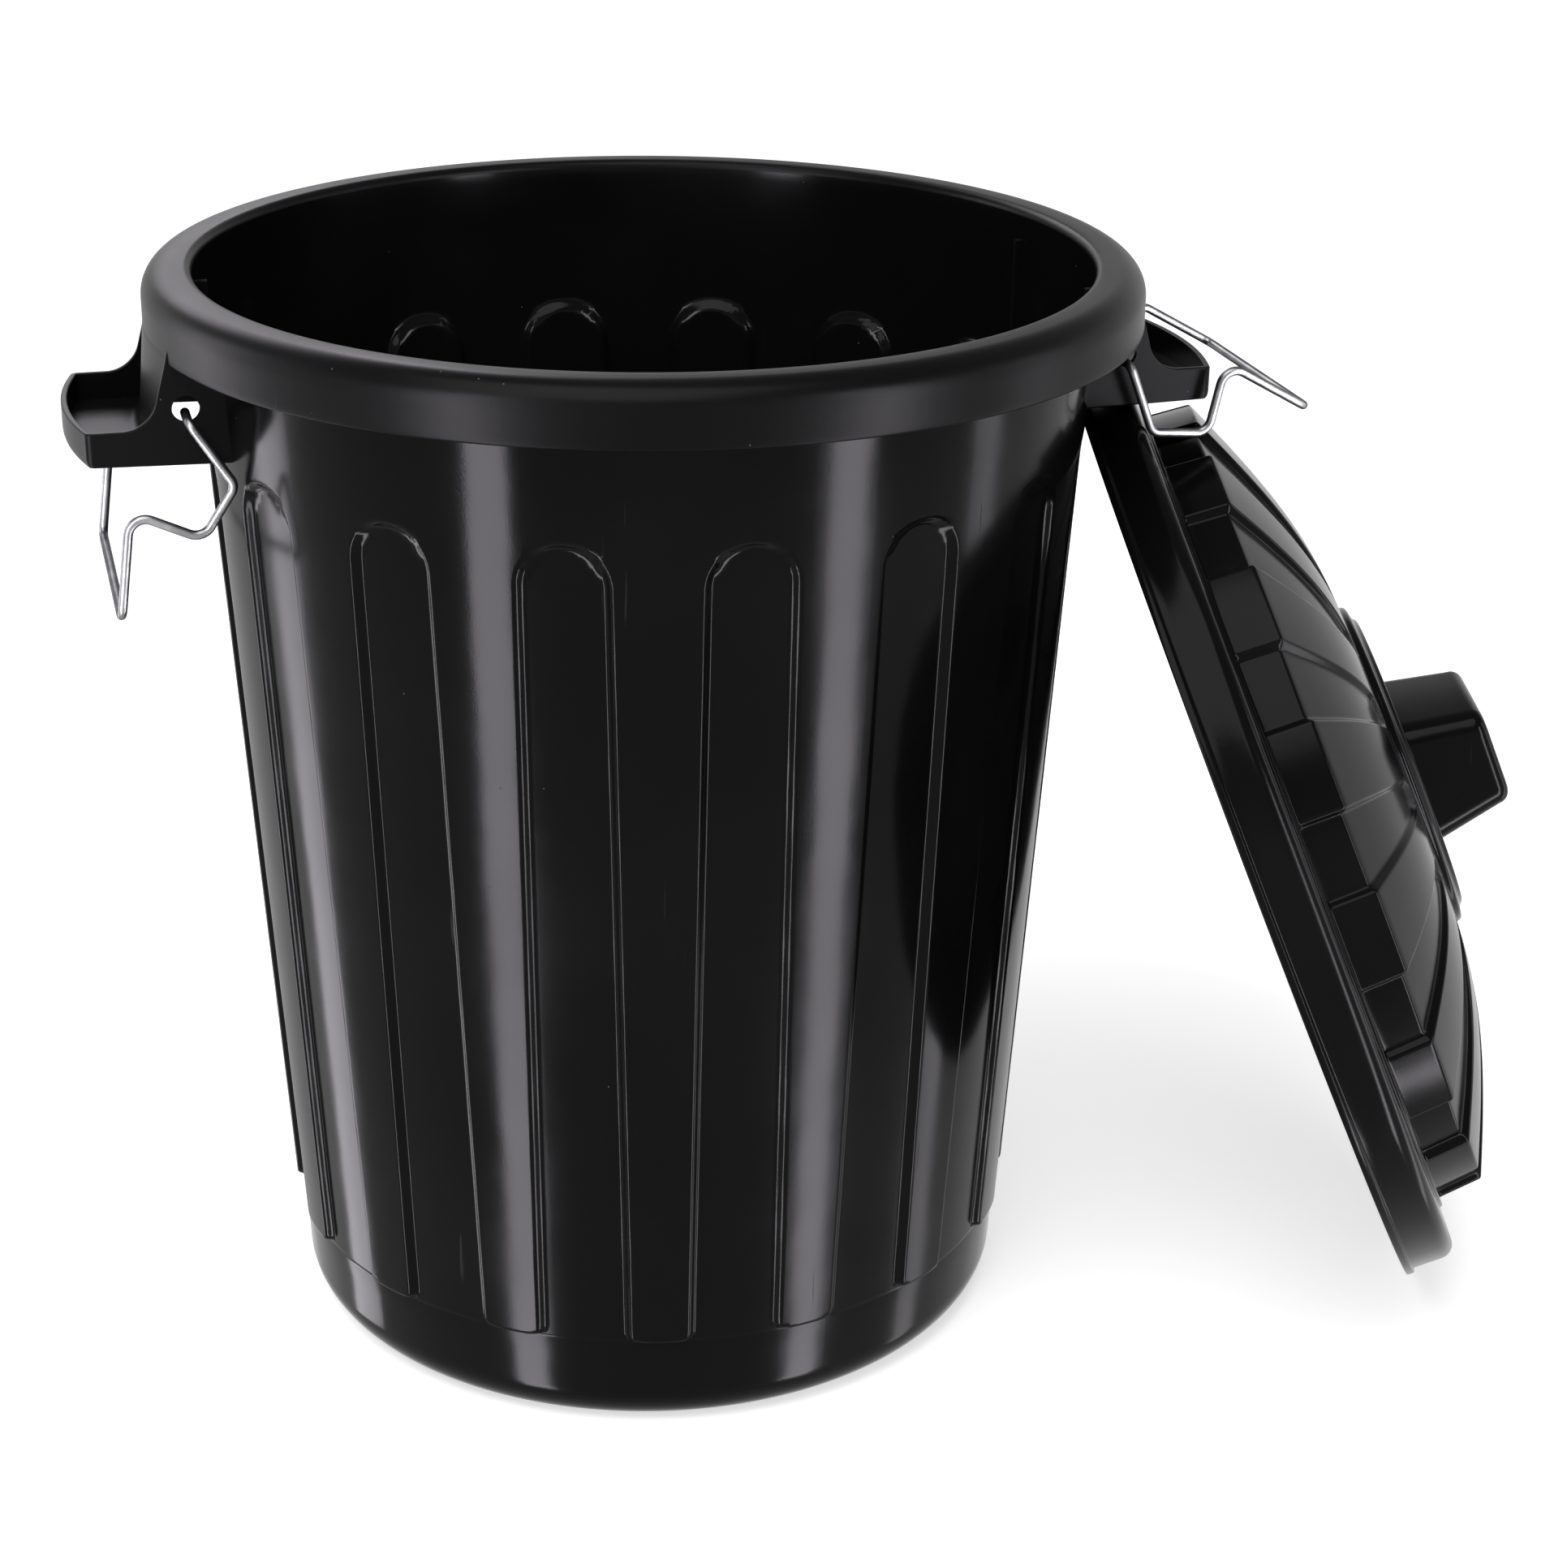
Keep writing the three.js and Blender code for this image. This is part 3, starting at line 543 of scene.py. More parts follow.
# %% [markdown]
# ## The bin's shell
#
# The shell is one moulding: a dished base, a foot band, a slightly flaring wall, and a lip
# that rolls out and hangs down like a gutter turned over. It is turned from one closed
# profile, outside first and then back down the inside. Sixteen flutes with round tops are
# then pressed into the wall by a node tree, and the inside follows at the wall's thickness.

# %% Profile of the bin
HEIGHT, WALL, FOOT_Z = 557.0, 3.0, 53.0
FOOT_RADIUS, TOP_RADIUS = 192.3, 223.4
WALL_SLOPE = (TOP_RADIUS - FOOT_RADIUS) / (HEIGHT - FOOT_Z)
BASE_CENTRE, BASE_ROUND = (164.8, 22), 22
LIP_CENTRE, LIP_ROUND = (232, 544), 13
LIP_REACH = LIP_CENTRE[0] + LIP_ROUND


def wall_at(z):
    """Radius of the wall's outside at a height, in mm."""
    return FOOT_RADIUS + WALL_SLOPE * (z - FOOT_Z)


def inside_at(z):
    """Radius of its inside."""
    return wall_at(z) - WALL


outside = [(0, 0), (60, 0), (120, 0)] + arc(*BASE_CENTRE, BASE_ROUND, -90, 0, 10)
outside += [(187.1, 30), (187.8, 42), (188.1, 50.6), (188.1, 52.2), (188.35, 52.8), (188.9, 53)]
outside += [(191.0, 53.05), (191.8, 53.25), (192.2, 53.8)]
outside += level(wall_at, 54.6, 58.6, 0.8) + level(wall_at, 62, 446, 32)
outside += level(wall_at, 450, 479, 1.3) + level(wall_at, 484, 550, 22)
outside += [(wall_at(554), 554)] + arc(*LIP_CENTRE, LIP_ROUND - WALL, 90, 0, 5)
outside += [(242, 529.2), (242.3, 528.4), (243, 528), (244.2, 528), (244.8, 528.4), (245, 529.2)]
outside += level(lambda z: LIP_REACH, 532, 541, 3) + arc(*LIP_CENTRE, LIP_ROUND, 0, 90, 14)
outside += [(228.2, 557)] + arc(224.4, 553, 4, 90, 180, 6)
inside = level(inside_at, 548, 486, 20) + level(inside_at, 482, 450, 2)
inside += level(inside_at, 434, 66, 46) + level(inside_at, 62, 56.8, 1.3)
inside += [(189.2, 56.2), (188.4, 56), (186.2, 56), (185.3, 55.6), (185.1, 54.8), (183.9, 24)]
inside += arc(*BASE_CENTRE, BASE_ROUND - WALL, 0, -90, 8)
inside += [(120, WALL), (60, WALL), (0, WALL)]
bin_profile = outside + inside
print("rows of the bin:", len(bin_profile))

# %% Press the flutes
flutes = RuleTree("press_flutes", {
    "Pitch": math.radians(22.5), "Depth": 4.0 * MM, "Wall": WALL * MM,
    "Crown height": 455.3 * MM, "Foot height": FOOT_Z * MM, "Half width at top": 20.7 * MM,
    "Half width at foot": 22.4 * MM, "Side width": 4.4 * MM, "Foot corner": 4.5 * MM,
    "Wall radius at foot": FOOT_RADIUS * MM, "Wall slope": WALL_SLOPE})
x, y, z, radius, angle = cylinder_fields(flutes, 0.0)
inner = flutes.mark("inner")
crown, foot = flutes.size("Crown height"), flutes.size("Foot height")
top_half, foot_half = flutes.size("Half width at top"), flutes.size("Half width at foot")
corner = flutes.size("Foot corner")
across = radius * angle.math("SINE")
down = (crown - z.math("MINIMUM", crown)) / (crown - foot)
gone = (corner - (z - foot)).math("MAXIMUM", 0.0).math("MINIMUM", corner)
flare = corner - (corner * corner - gone * gone).math("MAXIMUM", 0.0).math("SQRT")
half = top_half + (foot_half - top_half) * down + flare
above = (z - crown).math("MAXIMUM", 0.0)
away = (across * across + above * above).math("SQRT") - half
away = away - inner * flutes.size("Wall") + 0.4 * MM
pressed = (away / flutes.size("Side width")).rsub(0.5).eased(0.0, 1.0)
pressed = pressed * z.math("GREATER_THAN", foot - 1.2 * MM)
wall_radius = flutes.size("Wall radius at foot") + flutes.size("Wall slope") * (z - foot)
target = wall_radius - inner * flutes.size("Wall") - pressed * flutes.size("Depth")
cut = (radius - target).math("MAXIMUM", 0.0) * pressed.math("GREATER_THAN", 1e-6)
shrink = (radius - cut) / radius.math("MAXIMUM", 1e-6)
moved = flutes.node("ShaderNodeCombineXYZ", X=x * shrink, Y=y * shrink, Z=z)
pressing = flutes.node("GeometryNodeSetPosition", Geometry=flutes.start.outputs["Form"],
                       Position=moved.outputs[0])
flutes.finish(pressing.outputs[0], wall_plastic)

marks = spread((0, 4.6, 1.15), (4.6, 7.4, 0.24), (7.4, 11.25, 1.3))
first_inner = len(outside) - 1
bin_shell = turned("bin_shell", bin_profile, columns(16, 0, marks), first_inner,
                   len(bin_profile) - 2)
flutes.apply(bin_shell)
print("bin shell:", triangles(bin_shell), "triangles")

# %% The lip is duller than the wall
LIP_FOOT_LEVEL, LIP_INNER_REACH, LIP_TOP_LEVEL = 0.527, 0.2222, 0.5535
bin_shell.data.materials.append(rim_plastic)
centres = np.zeros(len(bin_shell.data.polygons) * 3)
bin_shell.data.polygons.foreach_get("center", centres)
centres = centres.reshape(-1, 3)
reach = np.hypot(centres[:, 0], centres[:, 1])
height = centres[:, 2]
on_lip = (height > LIP_FOOT_LEVEL) & (reach > LIP_INNER_REACH) | (height > LIP_TOP_LEVEL)
bin_shell.data.polygons.foreach_set("material_index", on_lip.astype(np.int32))
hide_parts("can_body")
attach(bin_shell, "bin")
print("faces on the lip:", int(on_lip.sum()))

# %% [markdown]
# ## Handles
#
# Each handle is a strap in a U: a side plate runs out from the lip, turns a tight corner,
# bows across as the grip, and comes back as the other side plate. The strap is swept along
# its plan, and its top and bottom edges follow the arm's hollow curve. An apron behind the
# hand carries the lip down and bends out into the handle's closed floor. The holes for the
# bail are cut with a Boolean.

# %% Swept straps
def edge_ring(bottom, top, low_in, low_up, steps=4):
    """A strap's section as (depth from its outer face, height), with rounded edges."""
    ring = []
    corners = [(low_in, bottom + low_up, low_in, low_up, 270, 180),
               (0.9, top - 0.9, 0.9, 0.9, 180, 90),
               (WALL - 0.7, top - 0.7, 0.7, 0.7, 90, 0),
               (WALL - 0.7, bottom + 0.7, 0.7, 0.7, 0, -90)]
    for number, (depth, height, a, b, start, end) in enumerate(corners):
        if number == 1:
            ring.append((0.0, height - 0.5))
        if number == 3:
            ring.append((WALL, height + 0.5))
        for angle in np.radians(np.linspace(start, end, steps + 1)):
            ring.append((depth + a * math.cos(angle), height + b * math.sin(angle)))
        if number == 0:
            ring.append((0.0, height + 0.5))
        if number == 2:
            ring.append((WALL, height - 0.5))
    return ring


def strap(name, stations, material):
    """A closed strap. A station is (x, y), outward normal, bottom, top, lower edge, in mm."""
    rings = []
    for (px, py), (nx, ny), bottom, top, (low_in, low_up) in stations:
        rings.append([((px - nx * d) * MM, (py - ny * d) * MM, h * MM)
                      for d, h in edge_ring(bottom, top, low_in, low_up)])
    vertices = [p for ring in rings for p in ring]
    mesh = mesh_of(name, vertices, ring_faces(len(rings), len(rings[0])))
    mesh.materials.append(material)
    return outward(link_object(name, mesh))


print("strap helper ready")

# %% The right handle
HALF, REACH, CORNER = 56.0, 278.0, 4.0
PLATE_FOOT, GRIP_FOOT, GRIP_TOP = 479.5, 481.0, 497.5
PLATE_START, PLATE_TOP = 211.3, 541.0
BOW_CENTRE, BOW_RADIUS = 86.0, 200.0
ARM_X, ARM_TOP_X, ARM_CURVE, SLANT = 261.5, 240.0, 17.0, math.radians(15)
ARM_BEND_X = ARM_X - ARM_CURVE * math.cos(SLANT)
ARM_BEND_Z = GRIP_TOP + ARM_CURVE * (1 - math.sin(SLANT))
corner_x = BOW_CENTRE + math.sqrt((BOW_RADIUS - CORNER) ** 2 - (HALF - CORNER) ** 2)
turn_end = math.degrees(math.asin((HALF - CORNER) / (BOW_RADIUS - CORNER)))


def foot_of(px):
    """Height of the handle's lower edge."""
    share = min(max((px - PLATE_START) / (REACH - PLATE_START), 0.0), 1.0)
    return PLATE_FOOT + (GRIP_FOOT - PLATE_FOOT) * share


def top_of(px):
    """Height of its upper edge: a slanted arm, a round and the level grip."""
    if px >= ARM_X:
        return GRIP_TOP
    if px <= ARM_BEND_X:
        return ARM_BEND_Z + (ARM_BEND_X - px) / math.tan(SLANT)
    return GRIP_TOP + ARM_CURVE - math.sqrt(ARM_CURVE ** 2 - (ARM_X - px) ** 2)


def handle_stations():
    """Stations along the near plate, round the corner, over the bow, and back."""
    plate = []
    for px in (209.5, 216, 223, 230, 236, 237.4):
        plate.append((px, foot_of(px), PLATE_TOP))
    for share in (0.0, 0.35, 0.7):
        px = ARM_TOP_X + (ARM_BEND_X - ARM_TOP_X) * share
        plate.append((px, foot_of(px), top_of(px)))
    for angle in np.linspace(math.degrees(SLANT), 90, 14):
        px = ARM_X - ARM_CURVE * math.cos(math.radians(angle))
        plate.append((px, foot_of(px), top_of(px)))
    for px in (264.5, 268.5, corner_x - 0.4):
        plate.append((px, foot_of(px), GRIP_TOP))
    near = [((px, -HALF), (0.0, -1.0), low, high, (0.9, 0.9)) for px, low, high in plate]
    turn = []
    for angle in np.linspace(-90, -turn_end, 9):
        c, s = math.cos(math.radians(angle)), math.sin(math.radians(angle))
        share = (angle + 90) / (90 - turn_end)
        px = corner_x + CORNER * c
        turn.append(((px, -(HALF - CORNER) + CORNER * s), (c, s), foot_of(px), GRIP_TOP,
                     (0.9 + 1.0 * share, 0.9 + 3.4 * share)))
    bow = []
    for angle in np.linspace(-turn_end, 0, 16)[1:]:
        c, s = math.cos(math.radians(angle)), math.sin(math.radians(angle))
        bow.append(((BOW_CENTRE + BOW_RADIUS * c, BOW_RADIUS * s), (c, s), GRIP_FOOT, GRIP_TOP,
                    (1.9, 4.3)))
    half_way = near + turn + bow
    far = [((px, -py), (nx, -ny), low, high, edge)
           for (px, py), (nx, ny), low, high, edge in reversed(half_way[:-1])]
    return half_way + far


right_handle = strap("right_handle", handle_stations(), rim_plastic)
print("right handle:", triangles(right_handle), "triangles before its holes")

# %% Holes for the bail
HOLE_REACH, HOLE_HEIGHT, HOLE_RADIUS = 231.5, 507.0, 6.5


def round_bar(name, radius, y_from, y_to, px, pz, sides=64):
    ring = [(px + radius * math.cos(2 * math.pi * k / sides),
             pz + radius * math.sin(2 * math.pi * k / sides)) for k in range(sides)]
    vertices = [(a * MM, y * MM, b * MM) for y in (y_from, y_to) for a, b in ring]
    faces = [tuple(range(sides)), tuple(reversed(range(sides, 2 * sides)))]
    faces += [(k, k + sides, (k + 1) % sides + sides, (k + 1) % sides) for k in range(sides)]
    return outward(link_object(name, mesh_of(name, vertices, faces, smooth=False)))


def cut_out(thing, tool):
    modifier = thing.modifiers.new("cut", "BOOLEAN")
    modifier.operation, modifier.solver, modifier.object = "DIFFERENCE", "EXACT", tool
    baked(thing)
    bpy.data.objects.remove(tool)


for side in (-1, 1):
    cut_out(right_handle, round_bar("hole_tool", HOLE_RADIUS, side * 50, side * 60, HOLE_REACH,
                                    HOLE_HEIGHT))
right_handle.data.set_sharp_from_angle(angle=math.radians(35))
print("holes cut, edges of the handle:", len(right_handle.data.edges))

# %% Apron and floor in one bent sheet
FLOOR_EDGE, FLOOR_RUN, FLOOR_OVERLAP = 284.5, 26.0, 1.5
FLOOR_START = 256.0


def set_in(points, distance):
    """A line of points moved to its left, with its corners kept sharp."""
    normals = []
    for (ax, ay), (bx, by) in zip(points, points[1:]):
        size = math.hypot(bx - ax, by - ay)
        normals.append((-(by - ay) / size, (bx - ax) / size))
    result = []
    for i, (px, py) in enumerate(points):
        before, after = normals[max(i - 1, 0)], normals[min(i, len(normals) - 1)]
        mx, my = before[0] + after[0], before[1] + after[1]
        push = 2 * distance / (mx * mx + my * my)
        result.append((px + mx * push, py + my * push))
    return result


def bent_sheet(name, line, half_width, columns_across, material):
    """A sheet of the wall's thickness from a profile of (radius, height), turned about Z.

    The floor's outer edge follows the bow of the grip."""
    ring = line + set_in(line, WALL)[::-1]
    vertices = []
    for share in np.linspace(-1, 1, columns_across):
        for reach, height in ring:
            angle = math.asin(half_width * share / reach)
            on_floor = min(max((reach - FLOOR_START) / FLOOR_RUN, 0.0), 1.0)
            bowed = bow_reach(half_width * share) / math.cos(angle) - FLOOR_OVERLAP
            out = reach + (bowed - FLOOR_EDGE) * on_floor
            angle = math.asin(half_width * share / out)
            vertices.append((out * math.cos(angle) * MM, out * math.sin(angle) * MM, height * MM))
    thing = link_object(name, mesh_of(name, vertices, ring_faces(columns_across, len(ring))))
    thing.data.materials.append(material)
    outward(thing)
    thing.data.set_sharp_from_angle(angle=math.radians(50))
    return thing


def bow_reach(across):
    """How far out the grip's outer face stands at a distance from its middle."""
    return BOW_CENTRE + math.sqrt(BOW_RADIUS ** 2 - across ** 2)


FLARE, APRON_TOP, APRON_HALF, BEND_RADIUS = 4.5, 532, 54.5, 4.5
floor_top = GRIP_FOOT + WALL
slope = FLARE / (APRON_TOP - GRIP_FOOT)
apron_line = [(FLOOR_EDGE - FLOOR_RUN * k / 8, floor_top) for k in range(9)]
apron_line += [(255.2, floor_top)] + arc(253.7, floor_top + BEND_RADIUS, BEND_RADIUS, 270, 176, 6)
apron_line += [(LIP_REACH + slope * (APRON_TOP - height), height)
               for height in (494, 505, 516, 527, APRON_TOP)]
right_apron = bent_sheet("right_apron", apron_line, APRON_HALF, 49, rim_plastic)
print("right apron:", triangles(right_apron), "triangles")

# %% The left side is the right side turned round

HALF_TURN = Matrix.Rotation(math.pi, 4, "Z")
for piece, name in ((right_handle, "left_handle"), (right_apron, "left_apron")):
    twin = link_object(name, piece.data.copy())
    twin.data.transform(HALF_TURN)
for name in ("right_handle", "right_apron", "left_handle", "left_apron"):
    piece = bpy.data.objects[name]
    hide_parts("can_body")
    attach(piece, "bin")
print("handles:", 2 * triangles(right_handle), "triangles")

# %% [markdown]
# ## Wire bails
#
# A bail is one length of 4.5 mm wire: it comes through the hole in one side plate, turns down
# the outside, steps inwards over the knee and out round the heel, and crosses to the other
# arm at its tip. A node tree turns the corner points into a curve, rounds each corner by its
# own bend radius, and runs a round section along it.

# %% Bend the wire
WIRE_RADIUS, CLEAR, ARM_HALF, END_HALF = 2.25, 0.3, 66, 47
PIVOT = (HOLE_REACH, HOLE_HEIGHT - HOLE_RADIUS + WIRE_RADIUS + CLEAR)
BEND_POINTS = [(0, 0, 5), (-20, 31.5, 6), (-3.6, 56.4, 8), (29.4, 41.2, 8), (36.3, 92.9, 6)]
wire_bend = RuleTree("bend_wire", {"Wire radius": WIRE_RADIUS * MM})
line = wire_bend.node("GeometryNodeMeshToCurve", Mesh=wire_bend.start.outputs["Form"])
rounded = wire_bend.node("GeometryNodeFilletCurve", Curve=line.outputs[0])
rounded.mode = "POLY"
rounded.inputs["Count"].default_value = 10
wire_bend.put(rounded.inputs["Radius"], wire_bend.mark("bend"))
section = wire_bend.node("GeometryNodeCurvePrimitiveCircle", Resolution=20)
wire_bend.put(section.inputs["Radius"], wire_bend.size("Wire radius"))


def store(rule, geometry, name, field):
    node = rule.node("GeometryNodeStoreNamedAttribute", Geometry=geometry)
    node.data_type, node.domain = "FLOAT", "POINT"
    node.inputs["Name"].default_value = name
    rule.put(node.inputs["Value"], field)
    return node.outputs[0]


length = wire_bend.node("GeometryNodeSplineParameter").outputs["Length"]
long_line = store(wire_bend, rounded.outputs[0], "along", Number(wire_bend.tree, length))
turned_by = wire_bend.node("GeometryNodeSplineParameter").outputs["Factor"]
ring_line = store(wire_bend, section.outputs[0], "round_it", Number(wire_bend.tree, turned_by))
tube = wire_bend.node("GeometryNodeCurveToMesh", Curve=long_line, Profile_Curve=ring_line)
tube.inputs["Fill Caps"].default_value = True
wire_bend.finish(tube.outputs[0], zinc_wire)


def bail(name, swing, turned_round):
    """The bail of one side after it has swung out by an angle in degrees."""
    c, s = math.cos(math.radians(swing)), math.sin(math.radians(swing))
    near = [(0, 0, -END_HALF, 0)]
    near += [(out, fall, -ARM_HALF, bend) for out, fall, bend in BEND_POINTS]
    far = [(out, fall, -y, bend) for out, fall, y, bend in reversed(near)]
    points, bends = [], []
    for out, fall, y, bend in near + far:
        points.append(((PIVOT[0] + out * c + fall * s) * MM, y * MM,
                       (PIVOT[1] - fall * c + out * s) * MM))
        bends.append(bend * MM)
    mesh = bpy.data.meshes.new(name)
    mesh.from_pydata(points, [(k, k + 1) for k in range(len(points) - 1)], [])
    mesh.attributes.new("bend", "FLOAT", "POINT").data.foreach_set("value", bends)
    if turned_round:
        mesh.transform(HALF_TURN)
    thing = wire_bend.apply(link_object(name, mesh))
    outward(thing)
    thing.data.shade_smooth()
    thing.data.set_sharp_from_angle(angle=math.radians(50))
    return thing


RIGHT_SWING, LEFT_SWING = 53.143, 0.0
for side, swing in (("right", RIGHT_SWING), ("left", LEFT_SWING)):
    wire = bail(side + "_bail_wire", swing, side == "left")
    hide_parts(side + "_bail")
    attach(wire, side + "_bail")
    print(wire.name, triangles(wire), "triangles",
          [round(x, 4) for x in wire.bound_box[0]], [round(x, 4) for x in wire.bound_box[6]])

# %% [markdown]
# ## The lid
#
# The lid is a second moulding: a skirt with a small bead at its edge, a flat ledge that sits
# on the bin's lip, a drum with sixteen raised blocks, and a domed top whose flutes run from
# the gaps between the blocks up to a flat disc. It is turned lying flat, the node tree sets
# back the sixteen wedges, and only then is it leaned against the bin.

# %% Profile of the lid
LID_WALL, DRUM_FOOT, DRUM_TOP, DOME_RISE = 2.5, 30.0, 53.7, 35.3
DISC_RADIUS, DOME_RADIUS = 90.0, 221.6


def dome(share):
    """A point of the dome's line, from its foot at 0 to the disc at 1."""
    return (DISC_RADIUS + (DOME_RADIUS - DISC_RADIUS) * (1 - share),
            DRUM_TOP + DOME_RISE * math.sin(math.radians(90 * share)))


def filled(points, step):
    """The same line with extra points wherever two are further apart than step."""
    result = [points[0]]
    for a, b in zip(points, points[1:]):
        parts = max(1, math.ceil(math.dist(a, b) / step))
        result += [tuple(np.array(a) + (np.array(b) - np.array(a)) * k / parts)
                   for k in range(1, parts + 1)]
    return result


skin = [(254.1, 0)] + arc(246.1, 20, 8, 0, 90, 6) + [(230, 28), (229, 30), (224, 30)]
skin += [dome(k / 22) for k in range(23)] + [(90, 93), (80, 96.5), (0, 96.5)]
under = filled(set_in(skin, LID_WALL), 12)
over = [(256.0, 0), (256.45, 0.2), (256.6, 0.6), (256.6, 3.2), (256.3, 3.8), (255.6, 4.05)]
over += [(254.8, 4.2), (254.3, 4.6), (254.1, 5.4)] + level(lambda z: 254.1, 9, 20, 5.5)
over += arc(246.1, 20, 8, 0, 90, 10)[1:] + [(240, 28), (234, 28), (230.2, 28), (229.4, 28.2)]
over += [(228.9, 28.8), (228.6, 29.5), (228.0, 29.95), (227.2, 30), (224.9, 30)]
over += [(224.4, 30.04), (224.1, 30.2), (223.95, 30.7), (223.85, 31.6)]
over += [(224 - 2.4 * (h - 30) / 23.7, h) for h in (34, 38, 42, 46, 49, 50.5, 51.6, 52.4)]
over += [(221.55, 53.1), (221.2, 53.65), (220.6, 54.05)]
over += [dome(k / 40) for k in range(1, 40)] + [(91.5, 88.98), (90.6, 89.2), (90.1, 89.8)]
over += [(89.9, 90.8), (89.5, 91.9), (88.8, 92.7), (87.4, 93.2), (84.6, 93.7), (82.9, 94.2)]
over += [(81.7, 95.0), (80.9, 95.9), (80.0, 96.35), (78.8, 96.5), (72, 96.5), (50, 96.5)]
over += [(25, 96.5), (0, 96.5)]
lid_profile = list(reversed(under)) + [(252.2, 0), (254.1, 0)] + over
print("rows of the lid:", len(lid_profile))

# %% Press the blocks
blocks = RuleTree("press_blocks", {
    "Pitch": math.radians(22.5), "Wall": LID_WALL * MM, "Block relief": 4.0 * MM,
    "Dome relief": 2.5 * MM, "Tip radius": 116.0 * MM, "Tip half width": 8.0 * MM,
    "Widening": 0.1152, "Side width": 3.6 * MM, "Drum foot": DRUM_FOOT * MM,
    "Drum top": DRUM_TOP * MM, "Disc radius": DISC_RADIUS * MM,
    "Dome radius": DOME_RADIUS * MM})
BLOCK_TURN = 6.45
x, y, z, radius, angle = cylinder_fields(blocks, math.radians(BLOCK_TURN))
inner = blocks.mark("inner")
wall = blocks.size("Wall")
ahead, beside = radius * angle.math("COSINE"), (radius * angle.math("SINE")).math("ABSOLUTE")
tip, tip_half = blocks.size("Tip radius"), blocks.size("Tip half width")
before_tip = (tip - ahead).math("MAXIMUM", 0.0)
half = tip_half + blocks.size("Widening") * (ahead - tip).math("MAXIMUM", 0.0)
away = (beside * beside + before_tip * before_tip).math("SQRT") - half - inner * wall
sunk = (away / blocks.size("Side width")).rsub(0.5).eased(0.0, 1.0)
height = z + inner * wall
foot_z, top_z = blocks.size("Drum foot"), blocks.size("Drum top")
rise = ((height - foot_z) / (top_z - foot_z)).math("ADD", 0.0, clamp=True)
side_on = ((height - foot_z - 0.02 * MM) / (0.7 * MM)).math("ADD", 0.0, clamp=True)
disc = blocks.size("Disc radius")
inward = ((radius - disc) / (blocks.size("Dome radius") - disc)).math("ADD", 0.0, clamp=True)
out_by = sunk * side_on * inward * blocks.size("Block relief")
shrink = (radius - out_by) / radius.math("MAXIMUM", 1e-6)
sink = sunk * rise * blocks.size("Dome relief")
moved = blocks.node("ShaderNodeCombineXYZ", X=x * shrink, Y=y * shrink, Z=z - sink)
pressing = blocks.node("GeometryNodeSetPosition", Geometry=blocks.start.outputs["Form"],
                       Position=moved.outputs[0])
blocks.finish(pressing.outputs[0], lid_plastic)

lid_marks = spread((0, 3.7, 0.93), (3.7, 6.2, 0.22), (6.2, 11.25, 1.27))
lid = turned("leaning_lid", lid_profile, columns(16, BLOCK_TURN, lid_marks), 0, len(under) - 1)
blocks.apply(lid)
print("lid lying flat:", triangles(lid), "triangles")

# %% Lean the lid on the bin
LID_TURN, LID_LEAN = math.radians(-15), math.radians(22.86515)
LID_CENTRE = Vector((319.4090, -37.4368, 236.4369)) * MM
away = Vector((math.cos(LID_TURN), math.sin(LID_TURN), 0))
upright = Vector((0, 0, 1))
lid_up = upright * math.cos(LID_LEAN) - away * math.sin(LID_LEAN)
lid_out = away * math.cos(LID_LEAN) + upright * math.sin(LID_LEAN)
lid_place = Matrix((lid_up, lid_out.cross(lid_up), lid_out)).transposed().to_4x4()
lid_place.translation = LID_CENTRE
lid.data.transform(lid_place)
outward(lid)
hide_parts("lid")
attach(lid, "lid")
print("lid:", triangles(lid), "triangles")

# %% [markdown]
# ## The knob
#
# The knob is a hollow box with round corners that narrows upwards. It is built as a stack of
# rounded outlines, with more of them where the top edge turns over.

# %% Stack the knob
def round_box(length, width, corner, height, steps=8):
    """A level of the knob: length across the lid, width up the lid, in mm."""
    points = []
    hx, hy = width / 2 - corner, length / 2 - corner
    for cx, cy, start in ((hx, hy, 0), (-hx, hy, 90), (-hx, -hy, 180), (hx, -hy, 270)):
        points += [(px, py, height) for px, py in arc(cx, cy, corner, start, start + 90, steps)]
    return points


def stacked(name, levels):
    """A closed form from levels of (length, width, corner, height), lowest first."""
    rings = [round_box(*values) for values in levels]
    vertices = [(px * MM, py * MM, pz * MM) for ring in rings for px, py, pz in ring]
    thing = link_object(name, mesh_of(name, vertices, ring_faces(len(rings), len(rings[0]))))
    thing.data.materials.append(lid_plastic)
    return thing


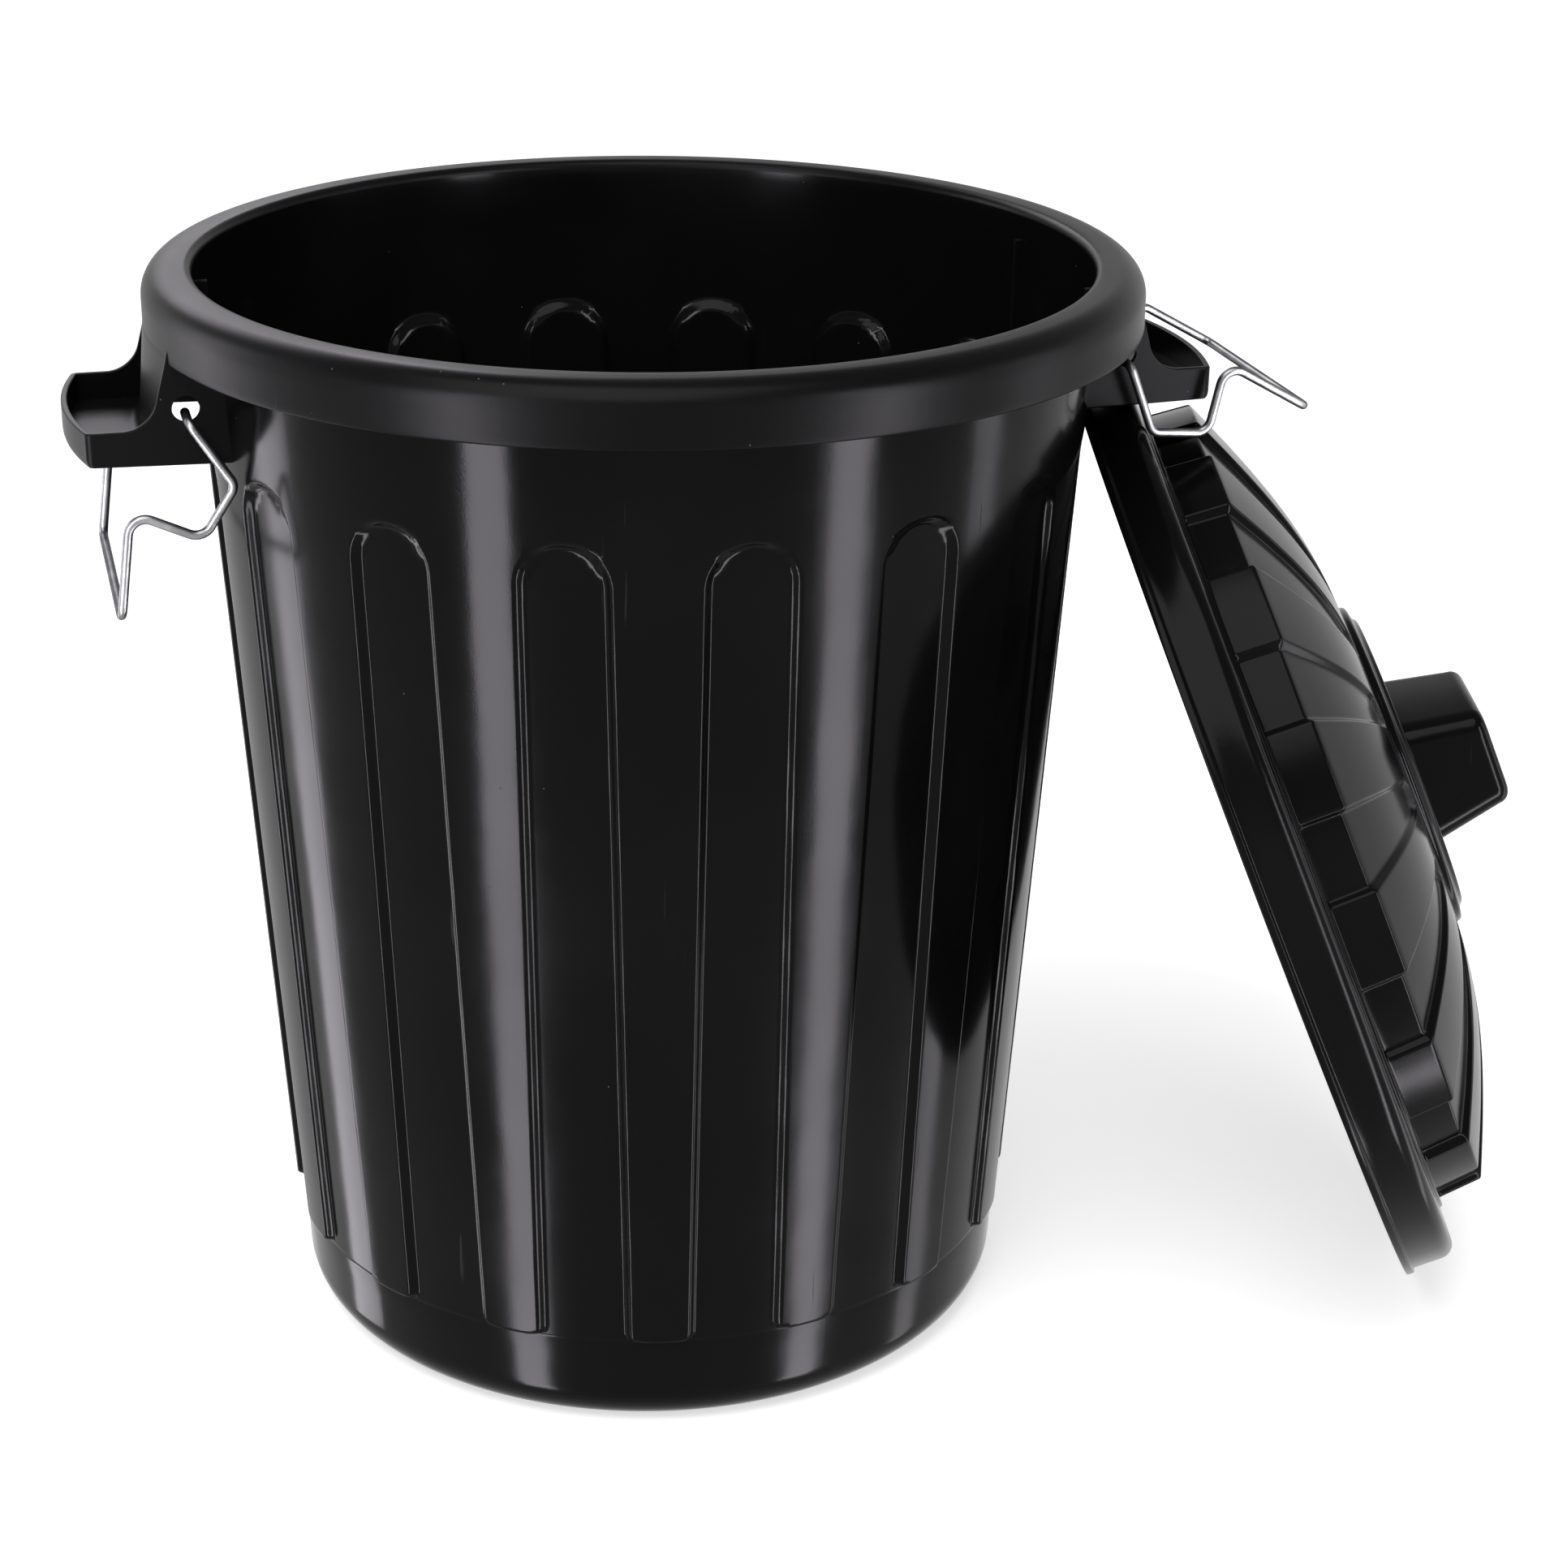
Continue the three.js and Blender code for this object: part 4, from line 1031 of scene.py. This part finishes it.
FOOT_LEVEL, TOP_LEVEL, ROUND, FLARE_OUT = 96.5, 139.0, 6.5, 1.8
FOOT_LENGTH, FOOT_WIDTH, FOOT_CORNER = 84, 70, 13
TOP_LENGTH, TOP_WIDTH, TOP_CORNER = 79, 56, 12
levels = [(FOOT_LENGTH + 2 * FLARE_OUT, FOOT_WIDTH + 2 * FLARE_OUT, FOOT_CORNER + FLARE_OUT,
           FOOT_LEVEL - 1.3)]
for angle in np.radians(np.linspace(0, 90, 7)):
    flare = FLARE_OUT * (1 - math.sin(angle))
    levels.append((FOOT_LENGTH + 2 * flare, FOOT_WIDTH + 2 * flare, FOOT_CORNER + flare,
                   FOOT_LEVEL - 0.1 + FLARE_OUT * (1 - math.cos(angle))))
side_foot, side_top = FOOT_LEVEL + FLARE_OUT, TOP_LEVEL - ROUND
for share in (0.2, 0.5, 0.8):
    levels.append((FOOT_LENGTH + (TOP_LENGTH - FOOT_LENGTH) * share,
                   FOOT_WIDTH + (TOP_WIDTH - FOOT_WIDTH) * share,
                   FOOT_CORNER + (TOP_CORNER - FOOT_CORNER) * share,
                   side_foot + (side_top - side_foot) * share))
for angle in np.radians(np.linspace(0, 90, 9)):
    inset = ROUND * (1 - math.cos(angle))
    levels.append((TOP_LENGTH - 2 * inset, TOP_WIDTH - 2 * inset, max(TOP_CORNER - inset * 0.75, 2),
                   side_top + ROUND * math.sin(angle)))
levels.append((TOP_LENGTH - 2 * ROUND - 6, TOP_WIDTH - 2 * ROUND - 6, 4, TOP_LEVEL))
hollow_levels = [(78, 64, 10, 91.0), (78, 64, 10, 96.5), (73, 50, 9, 132.0), (71, 48, 8, 135.0),
                 (68, 45, 6, 136.0)]
knob = stacked("lid_knob", levels)
for thing, name in ((knob, "knob_hollow"), (lid, "lid_hollow")):
    tool = stacked(name, hollow_levels)
    outward(tool)
    if thing is lid:
        tool.data.transform(lid_place)
    cut_out(thing, tool)
    thing.data.set_sharp_from_angle(angle=math.radians(55))
knob.data.transform(lid_place)
outward(knob)
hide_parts("lid")
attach(knob, "lid")
print("knob:", triangles(knob), "triangles")
